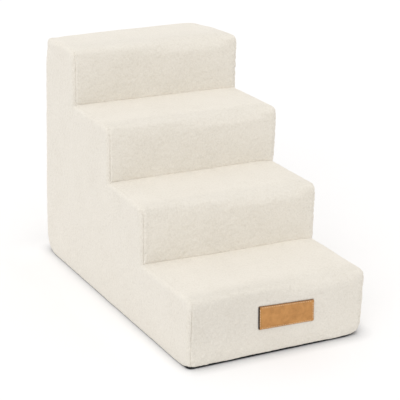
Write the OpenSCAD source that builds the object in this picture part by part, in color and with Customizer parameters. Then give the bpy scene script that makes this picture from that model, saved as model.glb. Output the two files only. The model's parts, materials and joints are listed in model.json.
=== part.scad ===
// Four-step foam pet stairs with a removable plush cover.
// Millimetres. X across the steps, Y from the lowest step (-Y) to the back (+Y), Z up from the floor.

/* [Steps] */
// Overall width across the steps
width = 400; // [320:5:500]
// Height of the first step
rise_1 = 143; // [110:1:160]
// Height of each step above the first
rise = 119; // [100:1:140]
// Tread depth of the first step
going_1 = 195; // [150:1:220]
// Tread depth of the second and third steps
going = 175; // [140:1:200]
// Depth of the top platform
going_top = 155; // [120:1:200]
// Radius of the padded nosing along the front edge of each tread
nosing_r = 22; // [14:1:30]
// Radius of the top edge at the back
back_r = 12; // [8:1:20]

/* [Cover] */
// Thickness of the plush cover, pile included
cover_t = 5; // [5:0.5:7]
// Thickness of the non-slip base fabric
base_t = 3; // [2:0.5:4]
// How far the base fabric is set in from the outer edge
base_inset = 3; // [1:0.5:6]

/* [Zip] */
// Distance of the zip's vertical runs from the middle of the back
zip_x = 150; // [110:1:155]
// Height of the zip's horizontal run above the floor
zip_z = 50; // [45:1:70]
// Height at which both vertical runs end
zip_top = 430; // [350:1:440]
// Corner radius of the zip, at the chain
zip_r = 40; // [30:1:60]
// Length of the pull tab
tab_l = 26; // [20:1:35]

/* [Patch] */
// Width of the patch on the front riser
patch_w = 126; // [60:1:160]
// Height of the patch
patch_h = 47; // [24:1:56]
// Thickness of the patch
patch_t = 3; // [2:0.5:4]
// Sideways offset of the patch from the middle
patch_x = 17; // [-60:1:60]
// Height of the patch's middle above the floor
patch_z = 76; // [50:1:90]
// Tilt of the patch in the plane of the riser, in degrees
patch_tilt = -1.5; // [-4:0.5:4]

/* [Hidden] */
$fn = 64;

// front face of each step, then the back face
yf = [0, going_1, going_1 + going, going_1 + 2 * going];
depth = going_1 + 2 * going + going_top;
// outer height of each tread
zt = [rise_1, rise_1 + rise, rise_1 + 2 * rise, rise_1 + 3 * rise];
height = zt[3];
half = width / 2;
inner_half = half - cover_t;

// chain: half slot, half chain width, half opening between the fabrics, half tape width
slot_h = 0.6;
chain_h = 3;
open_h = 7;
tape_h = 12;
// depths behind the outer face of the back
tape_out = 2.3;
tape_in = 3;
coil_out = 0.9;
coil_in = 3.2;
// end of the opening above the chain
open_top = zip_top + 8;

// slider: middle at rest, half length, plates
sl_half = 8;
sl_z = zip_top - 1 - sl_half;
plate_in = [-4.6, -3.5];
plate_out = [-0.5, 0.7];
loop_in = 2.8;
loop_out = 3.9;
pin_y = 1.75;
pin_r = 0.7;

// stitches of the patch
st_l = 3.4;
st_gap = 1.8;
st_w = 0.8;
st_t = 0.4;
st_in = 3.2;

// the model is centred on its own box, patch and zip slider included
y_shift = -depth / 2 + (patch_t + st_t - loop_out) / 2;

module place() translate([0, y_shift, 0]) children();

// side profile (Y, Z) extruded across the width from x0 to x1
module across(x0, x1) translate([x0, 0, 0]) rotate([90, 0, 90]) linear_extrude(x1 - x0) children();

// outline in the plane of the back or front (X, Z) extruded from y0 to y1
module along(y0, y1) translate([0, y1, 0]) rotate([90, 0, 0]) linear_extrude(y1 - y0) children();

// rectangle with its front top corner rounded by rf and its back top corner by rb
module slab2d(y0, y1, z0, z1, rf, rb = 0) {
    difference() {
        translate([y0, z0]) square([y1 - y0, z1 - z0]);
        difference() {
            translate([y0 - 1, z1 - rf]) square([rf + 1, rf + 1]);
            translate([y0 + rf, z1 - rf]) circle(rf);
        }
        if (rb > 0) difference() {
            translate([y1 - rb, z1 - rb]) square([rb + 1, rb + 1]);
            translate([y1 - rb, z1 - rb]) circle(rb);
        }
    }
}

// upright rectangle with two rounded bottom corners, grown by o from the chain's middle line
module u2d(o, top) {
    difference() {
        translate([-zip_x - o, zip_z - o]) square([2 * (zip_x + o), top - zip_z + o]);
        for (s = [-1, 1]) difference() {
            translate([s > 0 ? zip_x - zip_r : -zip_x - o - 1, zip_z - o - 1])
                square([zip_r + o + 1, zip_r + o + 1]);
            translate([s * (zip_x - zip_r), zip_z + zip_r]) circle(zip_r + o);
        }
    }
}

// band that follows the zip between two distances from the chain's middle line
module band2d(a, b, top) {
    difference() {
        u2d(b, top);
        u2d(a, top + 1);
    }
}

// foam: four slabs glued on top of each other, rounded like the steps
module foam(i) {
    z0 = i == 0 ? base_t : zt[i - 1] - cover_t;
    place() across(-inner_half, inner_half)
        slab2d(yf[i] + cover_t, depth - cover_t, z0, zt[i] - cover_t,
               nosing_r - cover_t, i == 3 ? back_r - cover_t : 0);
}

// cover of one step: riser, nosing and tread in one piece, up to the foot of the next riser
module step_cover(i) {
    z0 = i == 0 ? base_t : zt[i - 1];
    y1 = i == 3 ? depth : yf[i + 1] + cover_t;
    place() across(-inner_half, inner_half) difference() {
        slab2d(yf[i], y1, z0, zt[i], nosing_r, i == 3 ? back_r : 0);
        if (i == 3) {
            slab2d(yf[i] + cover_t, depth - cover_t, z0 - 1, zt[i] - cover_t,
                   nosing_r - cover_t, back_r - cover_t);
            translate([depth - cover_t - 1, z0 - 1])
                square([cover_t + 2, height - back_r - z0 + 1]);
        } else
            slab2d(yf[i] + cover_t, y1 + 1, z0 - 1, zt[i] - cover_t, nosing_r - cover_t);
    }
}

// side panel: the whole stepped outline
module side_cover(s) {
    x0 = s > 0 ? inner_half : -half;
    place() across(x0, x0 + cover_t)
        for (i = [0:3]) slab2d(yf[i], depth, base_t, zt[i], nosing_r, i == 3 ? back_r : 0);
}

module foam_slab_1() color("ivory") foam(0);
module foam_slab_2() color("ivory") foam(1);
module foam_slab_3() color("ivory") foam(2);
module foam_slab_4() color("ivory") foam(3);

module cover_step_1() color("linen") step_cover(0);
module cover_step_2() color("linen") step_cover(1);
module cover_step_3() color("linen") step_cover(2);
module cover_step_4() color("linen") step_cover(3);

module cover_left_side() color("linen") side_cover(-1);
module cover_right_side() color("linen") side_cover(1);

// back panel inside the zip, which opens to take the foam out
module cover_back_flap() color("linen") place() difference() {
    along(depth - cover_t, depth) {
        u2d(-open_h, open_top);
        translate([-zip_x, open_top]) square([2 * zip_x, height - back_r - open_top]);
    }
    along(depth - cover_t - 1, depth - tape_out) band2d(-tape_h, 0, open_top);
}

// strips of the back panel between the zip and the side and base seams
module cover_back_frame() color("linen") place() difference() {
    along(depth - cover_t, depth) difference() {
        translate([-inner_half, base_t]) square([2 * inner_half, height - back_r - base_t]);
        u2d(open_h, open_top);
        translate([-zip_x, open_top - 1]) square([2 * zip_x, height - back_r - open_top + 2]);
    }
    along(depth - cover_t - 1, depth - tape_out) band2d(0, tape_h, open_top);
}

// non-slip fabric underneath
module cover_base() color("dimgray") place()
    translate([-half + base_inset, base_inset, 0])
        cube([width - 2 * base_inset, depth - 2 * base_inset, base_t]);

module zip_tape_inner() color("antiquewhite") place()
    along(depth - tape_in, depth - tape_out) band2d(-tape_h, -chain_h, open_top);
module zip_tape_outer() color("antiquewhite") place()
    along(depth - tape_in, depth - tape_out) band2d(chain_h, tape_h, open_top);

module zip_coil_inner() color("white") place()
    along(depth - coil_in, depth - coil_out) band2d(-chain_h, -slot_h, zip_top);
module zip_coil_outer() color("white") place()
    along(depth - coil_in, depth - coil_out) band2d(slot_h, chain_h, zip_top);

// two crimped stops where the closed zip ends
module zip_top_stops() color("silver") place() for (s = [-1, 1])
    translate([zip_x + s * 1.8 - 1.2, depth - coil_in, zip_top]) cube([2.4, coil_in - coil_out + 0.3, 3]);

// one stop across both coils where the zip starts
module zip_bottom_stop() color("silver") place()
    translate([-zip_x - chain_h, depth - coil_in, zip_top]) cube([2 * chain_h, coil_in - coil_out + 0.3, 4]);

// outline of the slider's plates: wide shoulders above, narrow tail below
module plate2d() translate([zip_x, sl_z])
    polygon([[-3.2, -sl_half], [3.2, -sl_half], [4.4, -sl_half + 1.2], [5.4, 3.5], [5.4, 5.5], [3.6, sl_half],
             [-3.6, sl_half], [-5.4, 5.5], [-5.4, 3.5], [-4.4, -sl_half + 1.2]]);

// slider: two plates joined by a post that runs between the coils, side flanges and a loop for the tab
module zip_slider() color("silver") place() translate([0, depth, 0]) {
    along(plate_in[0], plate_in[1]) plate2d();
    along(plate_out[0], plate_out[1]) plate2d();
    translate([zip_x - 0.4, plate_in[0], sl_z + 2]) cube([0.8, plate_out[1] - plate_in[0], 5]);
    for (s = [-1, 1]) translate([zip_x + s * 3.9 - 0.45, -1.9, sl_z - 6]) cube([0.9, 1.9, 7]);
    translate([zip_x - 1.3, 0, sl_z - 3.5]) cube([2.6, loop_out, 1.2]);
    translate([zip_x - 1.3, 0, sl_z + 2.3]) cube([2.6, loop_out, 1.2]);
    translate([zip_x - 1.3, loop_in, sl_z - 3.5]) cube([2.6, loop_out - loop_in, 7]);
}

// pull tab: a bar through the slider's loop, two legs and a grip with a hole
module zip_pull_tab() color("silver") place() translate([zip_x, depth + pin_y, sl_z]) {
    rotate([0, 90, 0]) cylinder(h = 4.4, r = pin_r, center = true);
    for (s = [-1, 1]) {
        translate([s * 2.7, 0, 0]) rotate([0, 90, 0]) cylinder(h = 1.4, r = pin_r, center = true);
        translate([s * 2.7 - 0.7, -0.6, -6]) cube([1.4, 1.2, 6]);
    }
    difference() {
        along(-0.6, 0.6) {
            translate([-3.4, -tab_l + 3.4]) square([6.8, tab_l - 8.4]);
            translate([0, -tab_l + 3.4]) circle(3.4);
        }
        translate([0, 0, -tab_l + 4]) rotate([90, 0, 0]) cylinder(h = 3, r = 1.5, center = true);
    }
}

// stitches along one side of the patch, n of them, centred
function stitches(len) = floor((len - 2 * st_in) / (st_l + st_gap));
module stitch_row(len) {
    n = stitches(len);
    for (k = [0:n - 1]) translate([(k - (n - 1) / 2) * (st_l + st_gap), 0, 0])
        translate([-st_l / 2, -st_t, -st_w / 2]) cube([st_l, st_t, st_w]);
}

module on_patch() place() translate([patch_x, 0, patch_z]) rotate([0, -patch_tilt, 0]) children();

// patch sewn on the front riser
module label_patch() color("peru") on_patch() along(-patch_t, 0) difference() {
    square([patch_w, patch_h], center = true);
    for (sx = [-1, 1], sz = [-1, 1]) difference() {
        translate([sx * (patch_w / 2 - 0.5), sz * (patch_h / 2 - 0.5)]) square(3, center = true);
        translate([sx * (patch_w / 2 - 2), sz * (patch_h / 2 - 2)]) circle(2);
    }
}

// thread that holds the patch
module label_stitching() color("saddlebrown") on_patch() translate([0, -patch_t, 0]) {
    for (s = [-1, 1]) {
        translate([0, 0, s * (patch_h / 2 - st_in + 0.8)]) stitch_row(patch_w);
        translate([s * (patch_w / 2 - st_in + 0.8), 0, 0]) rotate([0, 90, 0]) stitch_row(patch_h);
    }
}

foam_slab_1();
foam_slab_2();
foam_slab_3();
foam_slab_4();
cover_step_1();
cover_step_2();
cover_step_3();
cover_step_4();
cover_left_side();
cover_right_side();
cover_back_flap();
cover_back_frame();
cover_base();
zip_tape_inner();
zip_tape_outer();
zip_coil_inner();
zip_coil_outer();
zip_top_stops();
zip_bottom_stop();
zip_slider();
zip_pull_tab();
label_patch();
label_stitching();
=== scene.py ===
import json
import math

import bpy
import numpy as np
from mathutils import Matrix, Vector
from mathutils.geometry import delaunay_2d_cdt

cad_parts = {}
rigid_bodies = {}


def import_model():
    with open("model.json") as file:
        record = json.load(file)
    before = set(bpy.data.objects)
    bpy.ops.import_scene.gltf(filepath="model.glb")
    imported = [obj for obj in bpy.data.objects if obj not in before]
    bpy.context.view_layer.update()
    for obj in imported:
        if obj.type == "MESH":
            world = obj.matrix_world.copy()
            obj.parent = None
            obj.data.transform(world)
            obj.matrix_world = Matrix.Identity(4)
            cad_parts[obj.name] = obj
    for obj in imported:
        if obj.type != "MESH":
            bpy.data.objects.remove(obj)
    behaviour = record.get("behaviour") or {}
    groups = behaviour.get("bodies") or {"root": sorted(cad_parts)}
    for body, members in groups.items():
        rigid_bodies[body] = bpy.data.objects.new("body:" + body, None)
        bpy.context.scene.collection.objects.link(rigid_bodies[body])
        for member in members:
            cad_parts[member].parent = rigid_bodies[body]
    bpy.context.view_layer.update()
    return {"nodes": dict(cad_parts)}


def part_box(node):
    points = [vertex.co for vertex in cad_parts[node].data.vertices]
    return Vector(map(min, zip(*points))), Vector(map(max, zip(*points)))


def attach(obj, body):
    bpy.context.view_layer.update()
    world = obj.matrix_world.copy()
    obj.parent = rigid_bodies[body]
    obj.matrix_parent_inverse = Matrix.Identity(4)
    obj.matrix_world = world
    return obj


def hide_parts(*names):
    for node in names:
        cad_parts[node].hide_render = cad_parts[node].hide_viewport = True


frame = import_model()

# Sizes in millimetres, in the stair's own frame: x from the middle, y from the lowest riser
# to the back, z up from the floor. They are the construction's sizes.
W = 400.0
D = 700.0
YF = (0.0, 195.0, 370.0, 545.0)
ZT = (143.0, 262.0, 381.0, 500.0)
NOSE_Y, NOSE_Z = 42.0, 30.0  # the nosing's depth and height
BACK_R = 12.0  # top edge at the back
EDGE_R = 10.0  # side edges
CLOTH = 3.8  # pile and backing
PROUD = 1.1  # how far the brushed pile stands over the sewn size
ZIP_X, ZIP_Z, ZIP_R = 150.0, 50.0, 40.0
ZIP_TOP, OPEN_TOP = 430.0, 438.5
OPEN = 7.0  # from the chain's middle to the cloth's edge
BASE_Z = 4.2  # height of the front hem; the other hems are lower
HEM_Z = 1.2
Y_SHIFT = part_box("cover_left_side")[0][1] * 1000.0

FLAT = W / 2 - EDGE_R  # half width of the flat part
SEAM_PHI = math.radians(22.0)  # how far round the side edge the seam lies
SEAM = FLAT + EDGE_R * SEAM_PHI  # the same up to the seam, along the cloth
SEAM_IN = EDGE_R * (1 - math.cos(SEAM_PHI))
SEAM_DEPTH, SEAM_WIDTH = 1.8, 3.6
FOOT_DEPTH, FOOT_WIDTH = 1.5, 8.0  # a riser's foot tucks in behind the tread below it
REAR_DEPTH, REAR_WIDTH = 0.1, 2.0  # the tread hardly dips there
# each step's right edge: sag at the nosing and at the rear of the tread, and how far its riser
# stands out
LEFT_ENDS = ((0.8, 1.0), (-1.2, 9.0), (2.0, 1.0), (1.2, 0.0))  # how far in and back each riser's left end lies
EDGES = ((2.6, 2.8, -0.7), (1.2, 3.0, -0.6), (0.9, 1.2, 2.3), (1.0, 4.6, -2.2))


# ------------------------------------------------------------------ numbers


def smooth(x, a, b):
    k = np.clip((x - a) / (b - a), 0.0, 1.0)
    return k * k * (3 - 2 * k)


def lattice(ix, iy, iz, seed):
    """A fixed pseudo-random whole number for each lattice point."""
    h = (ix * 374761393 + iy * 668265263 + iz * 982451653 + seed * 1274126177) & 0xFFFFFFFF
    h = ((h ^ (h >> 13)) * 1274126177) & 0xFFFFFFFF
    h = ((h ^ (h >> 15)) * 461845907) & 0xFFFFFFFF
    return h ^ (h >> 16)


def noise(p, size, seed=0):
    """Gradient noise, about -0.7 to 0.7, with features of the given size."""
    q = np.asarray(p, float) / size
    i = np.floor(q).astype(np.int64)
    f = q - i
    u = f * f * f * (f * (f * 6 - 15) + 10)
    total = np.zeros(len(q))
    for dx in (0, 1):
        for dy in (0, 1):
            for dz in (0, 1):
                h = lattice(i[:, 0] + dx, i[:, 1] + dy, i[:, 2] + dz, seed)
                g = (
                    ((h & 1023) / 511.5 - 1) * (f[:, 0] - dx)
                    + (((h >> 10) & 1023) / 511.5 - 1) * (f[:, 1] - dy)
                    + (((h >> 20) & 1023) / 511.5 - 1) * (f[:, 2] - dz)
                )
                total += (
                    g
                    * (u[:, 0] if dx else 1 - u[:, 0])
                    * (u[:, 1] if dy else 1 - u[:, 1])
                    * (u[:, 2] if dz else 1 - u[:, 2])
                )
    return total


def curls(p, size, seed=0):
    """Small domes with creases between them, 0 to 1: the tufts of the plush."""
    q = np.asarray(p, float) / size
    i = np.floor(q).astype(np.int64)
    best = np.full(len(q), 9.0)
    for dx in (-1, 0, 1):
        for dy in (-1, 0, 1):
            for dz in (-1, 0, 1):
                c = i + (dx, dy, dz)
                h = lattice(c[:, 0], c[:, 1], c[:, 2], seed)
                d = (
                    (c[:, 0] + (h & 1023) / 1023 - q[:, 0]) ** 2
                    + (c[:, 1] + ((h >> 10) & 1023) / 1023 - q[:, 1]) ** 2
                    + (c[:, 2] + ((h >> 20) & 1023) / 1023 - q[:, 2]) ** 2
                )
                np.minimum(best, d, out=best)
    return np.clip(1 - best, 0, 1)


def spaced(length, step, head=True, tail=True):
    """Stations from 0 to length, closer together beside a seam."""
    near = (0.0, 0.2, 0.5, 0.95, 1.5, 2.15, 2.9, 3.75)
    a = list(near) if head else [0.0]
    b = [length - e for e in near[::-1]] if tail else [length]
    n = max(1, round((b[0] - a[-1]) / step))
    return np.array([*a, *np.linspace(a[-1], b[0], n + 1)[1:-1], *b])


def gap(points, line, reach=14.0, fine=0.5):
    """Distance in the plane from each point to a polyline, up to reach."""
    line = np.asarray(line, float)
    bits = []
    for a, b in zip(line[:-1], line[1:]):
        n = max(1, int(np.hypot(*(b - a)) / fine))
        bits.append(a + (b - a) * (np.arange(n) / n)[:, None])
    bits.append(line[-1:])
    dense = np.concatenate(bits)
    out = np.full(len(points), reach)
    cell = 24.0
    key = np.floor(dense / cell).astype(int)
    near = {}
    for k, p in zip(map(tuple, key), dense):
        for dx in (-1, 0, 1):
            for dy in (-1, 0, 1):
                near.setdefault((k[0] + dx, k[1] + dy), []).append(p)
    mine = np.floor(points / cell).astype(int)
    order = np.lexsort((mine[:, 1], mine[:, 0]))
    cuts = np.flatnonzero(np.any(np.diff(mine[order], axis=0) != 0, axis=1)) + 1
    for group in np.split(order, cuts):
        found = near.get(tuple(mine[group[0]]))
        if found is None:
            continue
        c = np.array(found)
        d = np.sqrt(((points[group][:, None, :] - c[None]) ** 2).sum(2)).min(1)
        out[group] = np.minimum(d, reach)
    return out


# ------------------------------------------------------------------ the soft shape


def tuck(x, y, z):
    """How far the lowest corners at the back are gathered in, as (dx, dy)."""
    w = np.exp(-((np.abs(x) - 200.0) ** 2 + (y - D) ** 2) / 30.0**2)
    w = w * np.exp(-np.clip(z, 0, 400) / 17.0)
    return -np.sign(x) * 5.0 * w, -14.0 * w


def warp(P):
    """How the whole padded body gives: the hems roll in, corners round over, treads crown and
    risers dish a little. Everything soft takes it, so nothing comes apart."""
    P = np.array(P, float)
    x, y, z = P[:, 0].copy(), P[:, 1].copy(), P[:, 2].copy()
    sx = np.sign(x)
    dx, dy, dz = np.zeros(len(P)), np.zeros(len(P)), np.zeros(len(P))

    across = np.clip(1 - (x / 200) ** 2, 0, 1)
    for i in range(4):
        front, back, top, low = YF[i], (*YF[1:], D)[i], ZT[i], (0.0, *ZT[:3])[i]
        v = np.clip((y - front) / (back - front), 0, 1)
        w = np.exp(-np.clip(top - z, 0, 400) / 45) * smooth(z, top + 14, top + 6)
        dz += 1.8 * across**0.7 * np.sin(np.pi * v) ** 0.8 * w
        v = np.clip((z - low) / (top - low), 0, 1)
        w = np.exp(-np.clip(y - front, 0, 400) / 35) * smooth(y, front - 14, front - 6)
        dy += 1.5 * across**0.6 * np.sin(np.pi * v**0.85) ** 1.2 * w

    # the nosings are round in the middle and squarer towards their sewn ends
    ends = 0.15 + 0.6 * smooth(-x, -50.0, 50.0) + 0.85 * smooth(x, 150.0, 194.0)
    for i in range(4):
        sharp = ends + (0.35 * smooth(-x, -60.0, 60.0) if i == 0 else 0.0)
        u = np.clip((NOSE_Y - (y - YF[i])) / NOSE_Y, 0, 1.2)
        v = np.clip((NOSE_Z - (ZT[i] - z)) / NOSE_Z, 0, 1.2)
        r = np.hypot(u, v)
        a, b = u / np.maximum(r, 1e-6), v / np.maximum(r, 1e-6)
        k = sharp * (np.maximum(a**6 + b**6, 0.05) ** (-1 / 6) - 1) * smooth(r, 0.3, 0.95)
        k *= smooth(z, ZT[i] + 20, ZT[i] + 8) * smooth(y, YF[i] - 20, YF[i] - 8)
        dy -= NOSE_Y * u * k
        dz += NOSE_Z * v * k

    # risers lean back a little towards their nosing, but the lowest one forward
    for i, lean in enumerate((-3.5, 4.5, 4.5, 4.5)):
        top, low = ZT[i], (0.0, *ZT[:3])[i]
        v = np.clip((z - low) / (top - low), 0, 1)
        w = v**1.8 * smooth(z, top + 30, top + 10) * smooth(y, YF[i] - 16, YF[i] - 8) * smooth(y, YF[i] + 130, YF[i] + 20)
        dy += lean * w * (1 - smooth(x, 110.0, 185.0))

    for s in (-1, 1):
        for i in range(4):
            c = np.array((s * 200.0, YF[i], ZT[i]))
            w = np.exp(-(((P - c) ** 2).sum(1)) / 24.0**2)
            dx += s * 0.8 * w
        c = np.array((s * 200.0, D, 500.0))
        w = np.exp(-(((P - c) ** 2).sum(1)) / 30.0**2)
        dx -= s * 3.0 * w
        dy -= 3.6 * w
        dz -= (2.6 if s < 0 else 5.6) * w
        if s < 0:  # one corner is pushed out to a point
            w = np.exp(-(((P - c) ** 2).sum(1)) / 15.0**2)
            dx -= 1.6 * w
            dy += 1.5 * w
            dz += 3.6 * w
        c = np.array((s * 200.0, D, 0.0))
        w = np.exp(-(((P - c) ** 2).sum(1)) / 30.0**2)
        dx -= s * 1.2 * w
        dy -= 1.5 * w
        # the lowest corners at the front are gathered in over the base's round corners
        w = np.exp(-((x - s * 200.0) ** 2 + y**2) / 19.0**2)
        w *= np.exp(-np.clip(z, 0, 400) / (10.0 if s > 0 else 15.0))
        dx -= s * (8.5 if s > 0 else 4.0) * w
        dy += (8.0 if s > 0 else 2.0) * w
        dz += (1.5 if s > 0 else 0.0) * w
    inward, forward = tuck(x, y, z)
    dx += inward
    dy += forward
    # the filling has settled along the back of the top, most at the left
    rear = np.exp(-(((D - y) / 70.0) ** 2)) * np.exp(-((np.clip(500.0 - z, 0, 600) / 60.0) ** 2))
    dz -= (3.6 * smooth(-x, -40.0, 150.0) + 1.2 * smooth(x, 150.0, 200.0)) * rear
    dz -= 1.4 * np.exp(-(((x - 15.0) / 60.0) ** 2)) * rear
    # and the edge of the top has sunk on the right
    w = smooth(x, 120.0, 200.0) * np.exp(-np.clip(500.0 - z, 0, 400) / 30.0) * smooth(z, 514.0, 506.0)
    dz -= 2.8 * w * np.exp(-(((y - 640.0) / 50.0) ** 2))
    dx += 1.4 * np.exp(-((x + 200.0) ** 2 + (y - D) ** 2) / 45.0**2) * smooth(z, 300.0, 360.0)
    # on the left no two risers end in the same line either
    for i, (inward, back) in enumerate(LEFT_ENDS):
        top, low = ZT[i], (0.0, *ZT[:3])[i]
        w = smooth(z, low - 28, low - 4) * (1 - smooth(z, top + 2, top + 22))
        w *= np.exp(-(((y - YF[i] - 8.0) / 55.0) ** 2))
        dx += inward * w * np.exp(-(((x + 200) / 28.0) ** 2))
        dy += back * w * smooth(-x, 30.0, 200.0)
    # on the right the treads sag towards their edge, and no two risers end quite alike
    edge = np.exp(-(((x - 200.0) / 24.0) ** 2))
    for i, (fore, aft, out) in enumerate(EDGES):
        front, back, top, low = YF[i], (*YF[1:], D)[i], ZT[i], (0.0, *ZT[:3])[i]
        v = np.clip((y - front) / (back - front), 0, 1)
        w = edge * np.exp(-(((z - top) / 26.0) ** 2)) * smooth(y, front - 30, front + 10)
        dz -= (fore + (aft - fore) * v) * w * (1 - smooth(y, back + 10, back + 60))
        w = edge * np.exp(-(((y - front) / 50.0) ** 2))
        dx += out * w * smooth(z, low - 10, low + 20) * (1 - smooth(z, top, top + 15))

    nearf = smooth(y, 16, 7)
    hem = HEM_Z + (BASE_Z - HEM_Z) * nearf
    u = np.clip((hem + 5.0 - z) / 5.0, 0, 1)
    roll = 2.6 * (1 - np.sqrt(np.clip(1 - u * u, 0, 1)))
    dy += 0.55 * roll * nearf
    # the hem isn't sewn quite straight, so the base shows more in some places than in others
    wave = 0.5 * np.exp(-(((x + 33) / 55.0) ** 2)) - 1.5 * np.exp(-(((x - 132) / 20.0) ** 2))
    wave += 0.7 * noise(np.stack((x, 0 * x, 0 * x), 1), 38.0, 14)
    dz += wave * nearf * np.clip(1 - z / 14.0, 0, 1)
    dy -= roll * smooth(y, D - 16, D - 7)
    dx -= sx * roll * smooth(np.abs(x), 184, 193)

    return np.stack((x + dx, y + dy, z + dz), 1)


def groove(d, depth, width):
    """Depth of cloth that rolls over into a seam, at distance d from it."""
    k = np.clip(1 - d / width, 0, 1)
    return depth * (1 - np.sqrt(1 - k * k))


def swell(P):
    """Slow unevenness of the padding under the cloth, and how far the pile stands proud."""
    return PROUD + 1.1 * noise(P, 105.0, 11) + 0.55 * noise(P, 42.0, 12)


def pile(P, d, high=1.0):
    """Height of the plush over its own mean, flattened beside a seam at distance d. high is how
    far it is brushed up there."""
    k = smooth(d, 0.0, 2.2) * high
    return k * (
        0.42 * (curls(P, 4.6, 5) - 0.55)
        + 0.3 * noise(P, 2.9, 6)
        + 0.75 * noise(P + 0.6 * noise(P, 5.0, 8)[:, None], 8.0, 7)
        + 0.35 * noise(P, 19.0, 9)
    )


def pucker(along, d, seed):
    """Small gathers that a seam pulls in the cloth beside it."""
    q = np.stack((along, np.zeros_like(along) + seed * 31.7, d * 0.35), 1)
    wave = noise(q, 7.0, seed) + 0.5 * noise(q, 17.0, seed + 1)
    return 0.95 * wave * np.exp(-d / 5.0) * smooth(d, 0.0, 1.2)


class Outline:
    """The side outline of one step, by distance along it from the riser's foot."""

    def __init__(self, i):
        self.i = i
        self.low = BASE_Z if i == 0 else ZT[i - 1]
        self.end = YF[i + 1] if i < 3 else D - BACK_R
        t = np.linspace(0, math.pi / 2, 400)
        y, z = -NOSE_Y * np.cos(t), NOSE_Z * np.sin(t)
        self.arc = np.concatenate(([0], np.cumsum(np.hypot(np.diff(y), np.diff(z)))))
        self.angle = t
        self.rise = ZT[i] - NOSE_Z - self.low
        self.tread = self.end - YF[i] - NOSE_Y
        self.over = BACK_R * math.pi / 2 if i == 3 else 0.0
        self.length = self.rise + self.arc[-1] + self.tread + self.over

    def at(self, s, inset, foot, back):
        """(y, z) at distance s, moved in by inset. foot and back are how far the two ends go
        past the corners, so that neighbours meet."""
        i = self.i
        s, inset, foot, back = np.broadcast_arrays(s, inset, foot, back)
        a, b, c = self.rise, self.rise + self.arc[-1], self.rise + self.arc[-1] + self.tread
        low = self.low - foot
        k = np.clip(s / a, 0, 1)
        y1, z1 = YF[i] + inset, low + k * (ZT[i] - NOSE_Z - low)
        t = np.interp(s - a, self.arc, self.angle)
        y2 = YF[i] + NOSE_Y - (NOSE_Y - inset) * np.cos(t)
        z2 = ZT[i] - NOSE_Z + (NOSE_Z - inset) * np.sin(t)
        k = np.clip((s - b) / self.tread, 0, 1)
        y3, z3 = YF[i] + NOSE_Y + k * (self.end + back - YF[i] - NOSE_Y), ZT[i] - inset
        y = np.where(s <= a, y1, np.where(s <= b, y2, y3))
        z = np.where(s <= a, z1, np.where(s <= b, z2, z3))
        if i == 3:
            t = np.clip((s - c) / BACK_R, 0, math.pi / 2)
            y = np.where(s > c, D - BACK_R + (BACK_R - inset) * np.sin(t), y)
            z = np.where(s > c, 500.0 - BACK_R + (BACK_R - inset) * np.cos(t), z)
        return y, z


OUT = [Outline(i) for i in range(4)]
STEP_S = [spaced(o.length, 1.75) for o in OUT]
BACK_S = spaced(500.0 - BACK_R - HEM_Z, 1.9)


def on_step(i, s, delta, phi, h, low=0.0):
    """Points of step i's outline band, rows along s and columns across. delta and phi place the
    column on the rounded side edge, h is the height over the plain shape."""
    inset = delta - h * np.cos(phi)
    foot = inset[0] if i else low
    back = inset[-1] if i < 3 else 0.0
    y, z = OUT[i].at(s[:, None], inset, foot, back)
    return y, z


# ------------------------------------------------------------------ meshes


def inside_loop(points, loop):
    x, y = points[:, 0], points[:, 1]
    ok = np.zeros(len(points), bool)
    for (x0, y0), (x1, y1) in zip(loop, np.roll(loop, -1, axis=0)):
        if y0 == y1:
            continue
        hit = (y0 > y) != (y1 > y)
        ok ^= hit & (x < x0 + (y - y0) * (x1 - x0) / (y1 - y0))
    return ok


def triangles(points, loop):
    """Triangles inside the closed loop of point numbers."""
    points = np.asarray(points, float)
    pts = [Vector((float(a), float(b))) for a, b in points]
    edges = [(int(a), int(b)) for a, b in zip(loop, np.roll(loop, -1))]
    v, _, f, src, _, _ = delaunay_2d_cdt(pts, edges, [], 0, 1e-5, True)
    if len(v) != len(pts):
        print("triangulation changed the number of points by", len(v) - len(pts))
    old = [s[0] if s else -1 for s in src]
    faces = np.array([[old[k] for k in t] for t in f], int)
    faces = faces[(faces >= 0).all(1)]
    # a triangle outside the loop has all its corners on it
    rim = np.zeros(len(points), bool)
    rim[loop] = True
    doubtful = np.flatnonzero(rim[faces].all(1))
    centre = points[faces[doubtful]].mean(1)
    out = doubtful[~inside_loop(centre, points[loop])]
    keep = np.ones(len(faces), bool)
    keep[out] = False
    return faces[keep]


def shell(outer, outer_faces, outer_loop, inner, inner_faces):
    """One closed skin: outer and inner surfaces joined along their rims. The inner surface's
    first points are its rim, in the same order as outer_loop."""
    n = len(outer)
    verts = np.concatenate((outer, inner))
    k = len(outer_loop)
    a = np.asarray(outer_loop)
    b = n + np.arange(k)
    rim = [(int(a[j]), int(b[j]), int(b[(j + 1) % k]), int(a[(j + 1) % k])) for j in range(k)]
    return verts, [list(map(int, f)) for f in outer_faces], rim, [
        [int(n + q) for q in f] for f in inner_faces
    ]


def volume(verts, faces):
    total = 0.0
    for size in (3, 4):
        f = np.array([x for x in faces if len(x) == size], int)
        if len(f):
            a = verts[f[:, 0]]
            for j in range(1, size - 1):
                total += np.einsum("ij,ij->i", a, np.cross(verts[f[:, j]], verts[f[:, j + 1]])).sum()
    return total / 6


def add_mesh(name, verts, faces, material, smooth_faces=True, place=True):
    """A mesh object from points in stair millimetres."""
    v = np.array(verts, float)
    if place:
        v[:, 1] += Y_SHIFT
        v /= 1000.0
    me = bpy.data.meshes.new(name)
    me.from_pydata(v.tolist(), [], faces)
    me.update()
    o = bpy.data.objects.new(name, me)
    bpy.context.scene.collection.objects.link(o)
    if material is not None:
        me.materials.append(material)
    if smooth_faces:
        me.shade_smooth()
    return o


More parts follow.
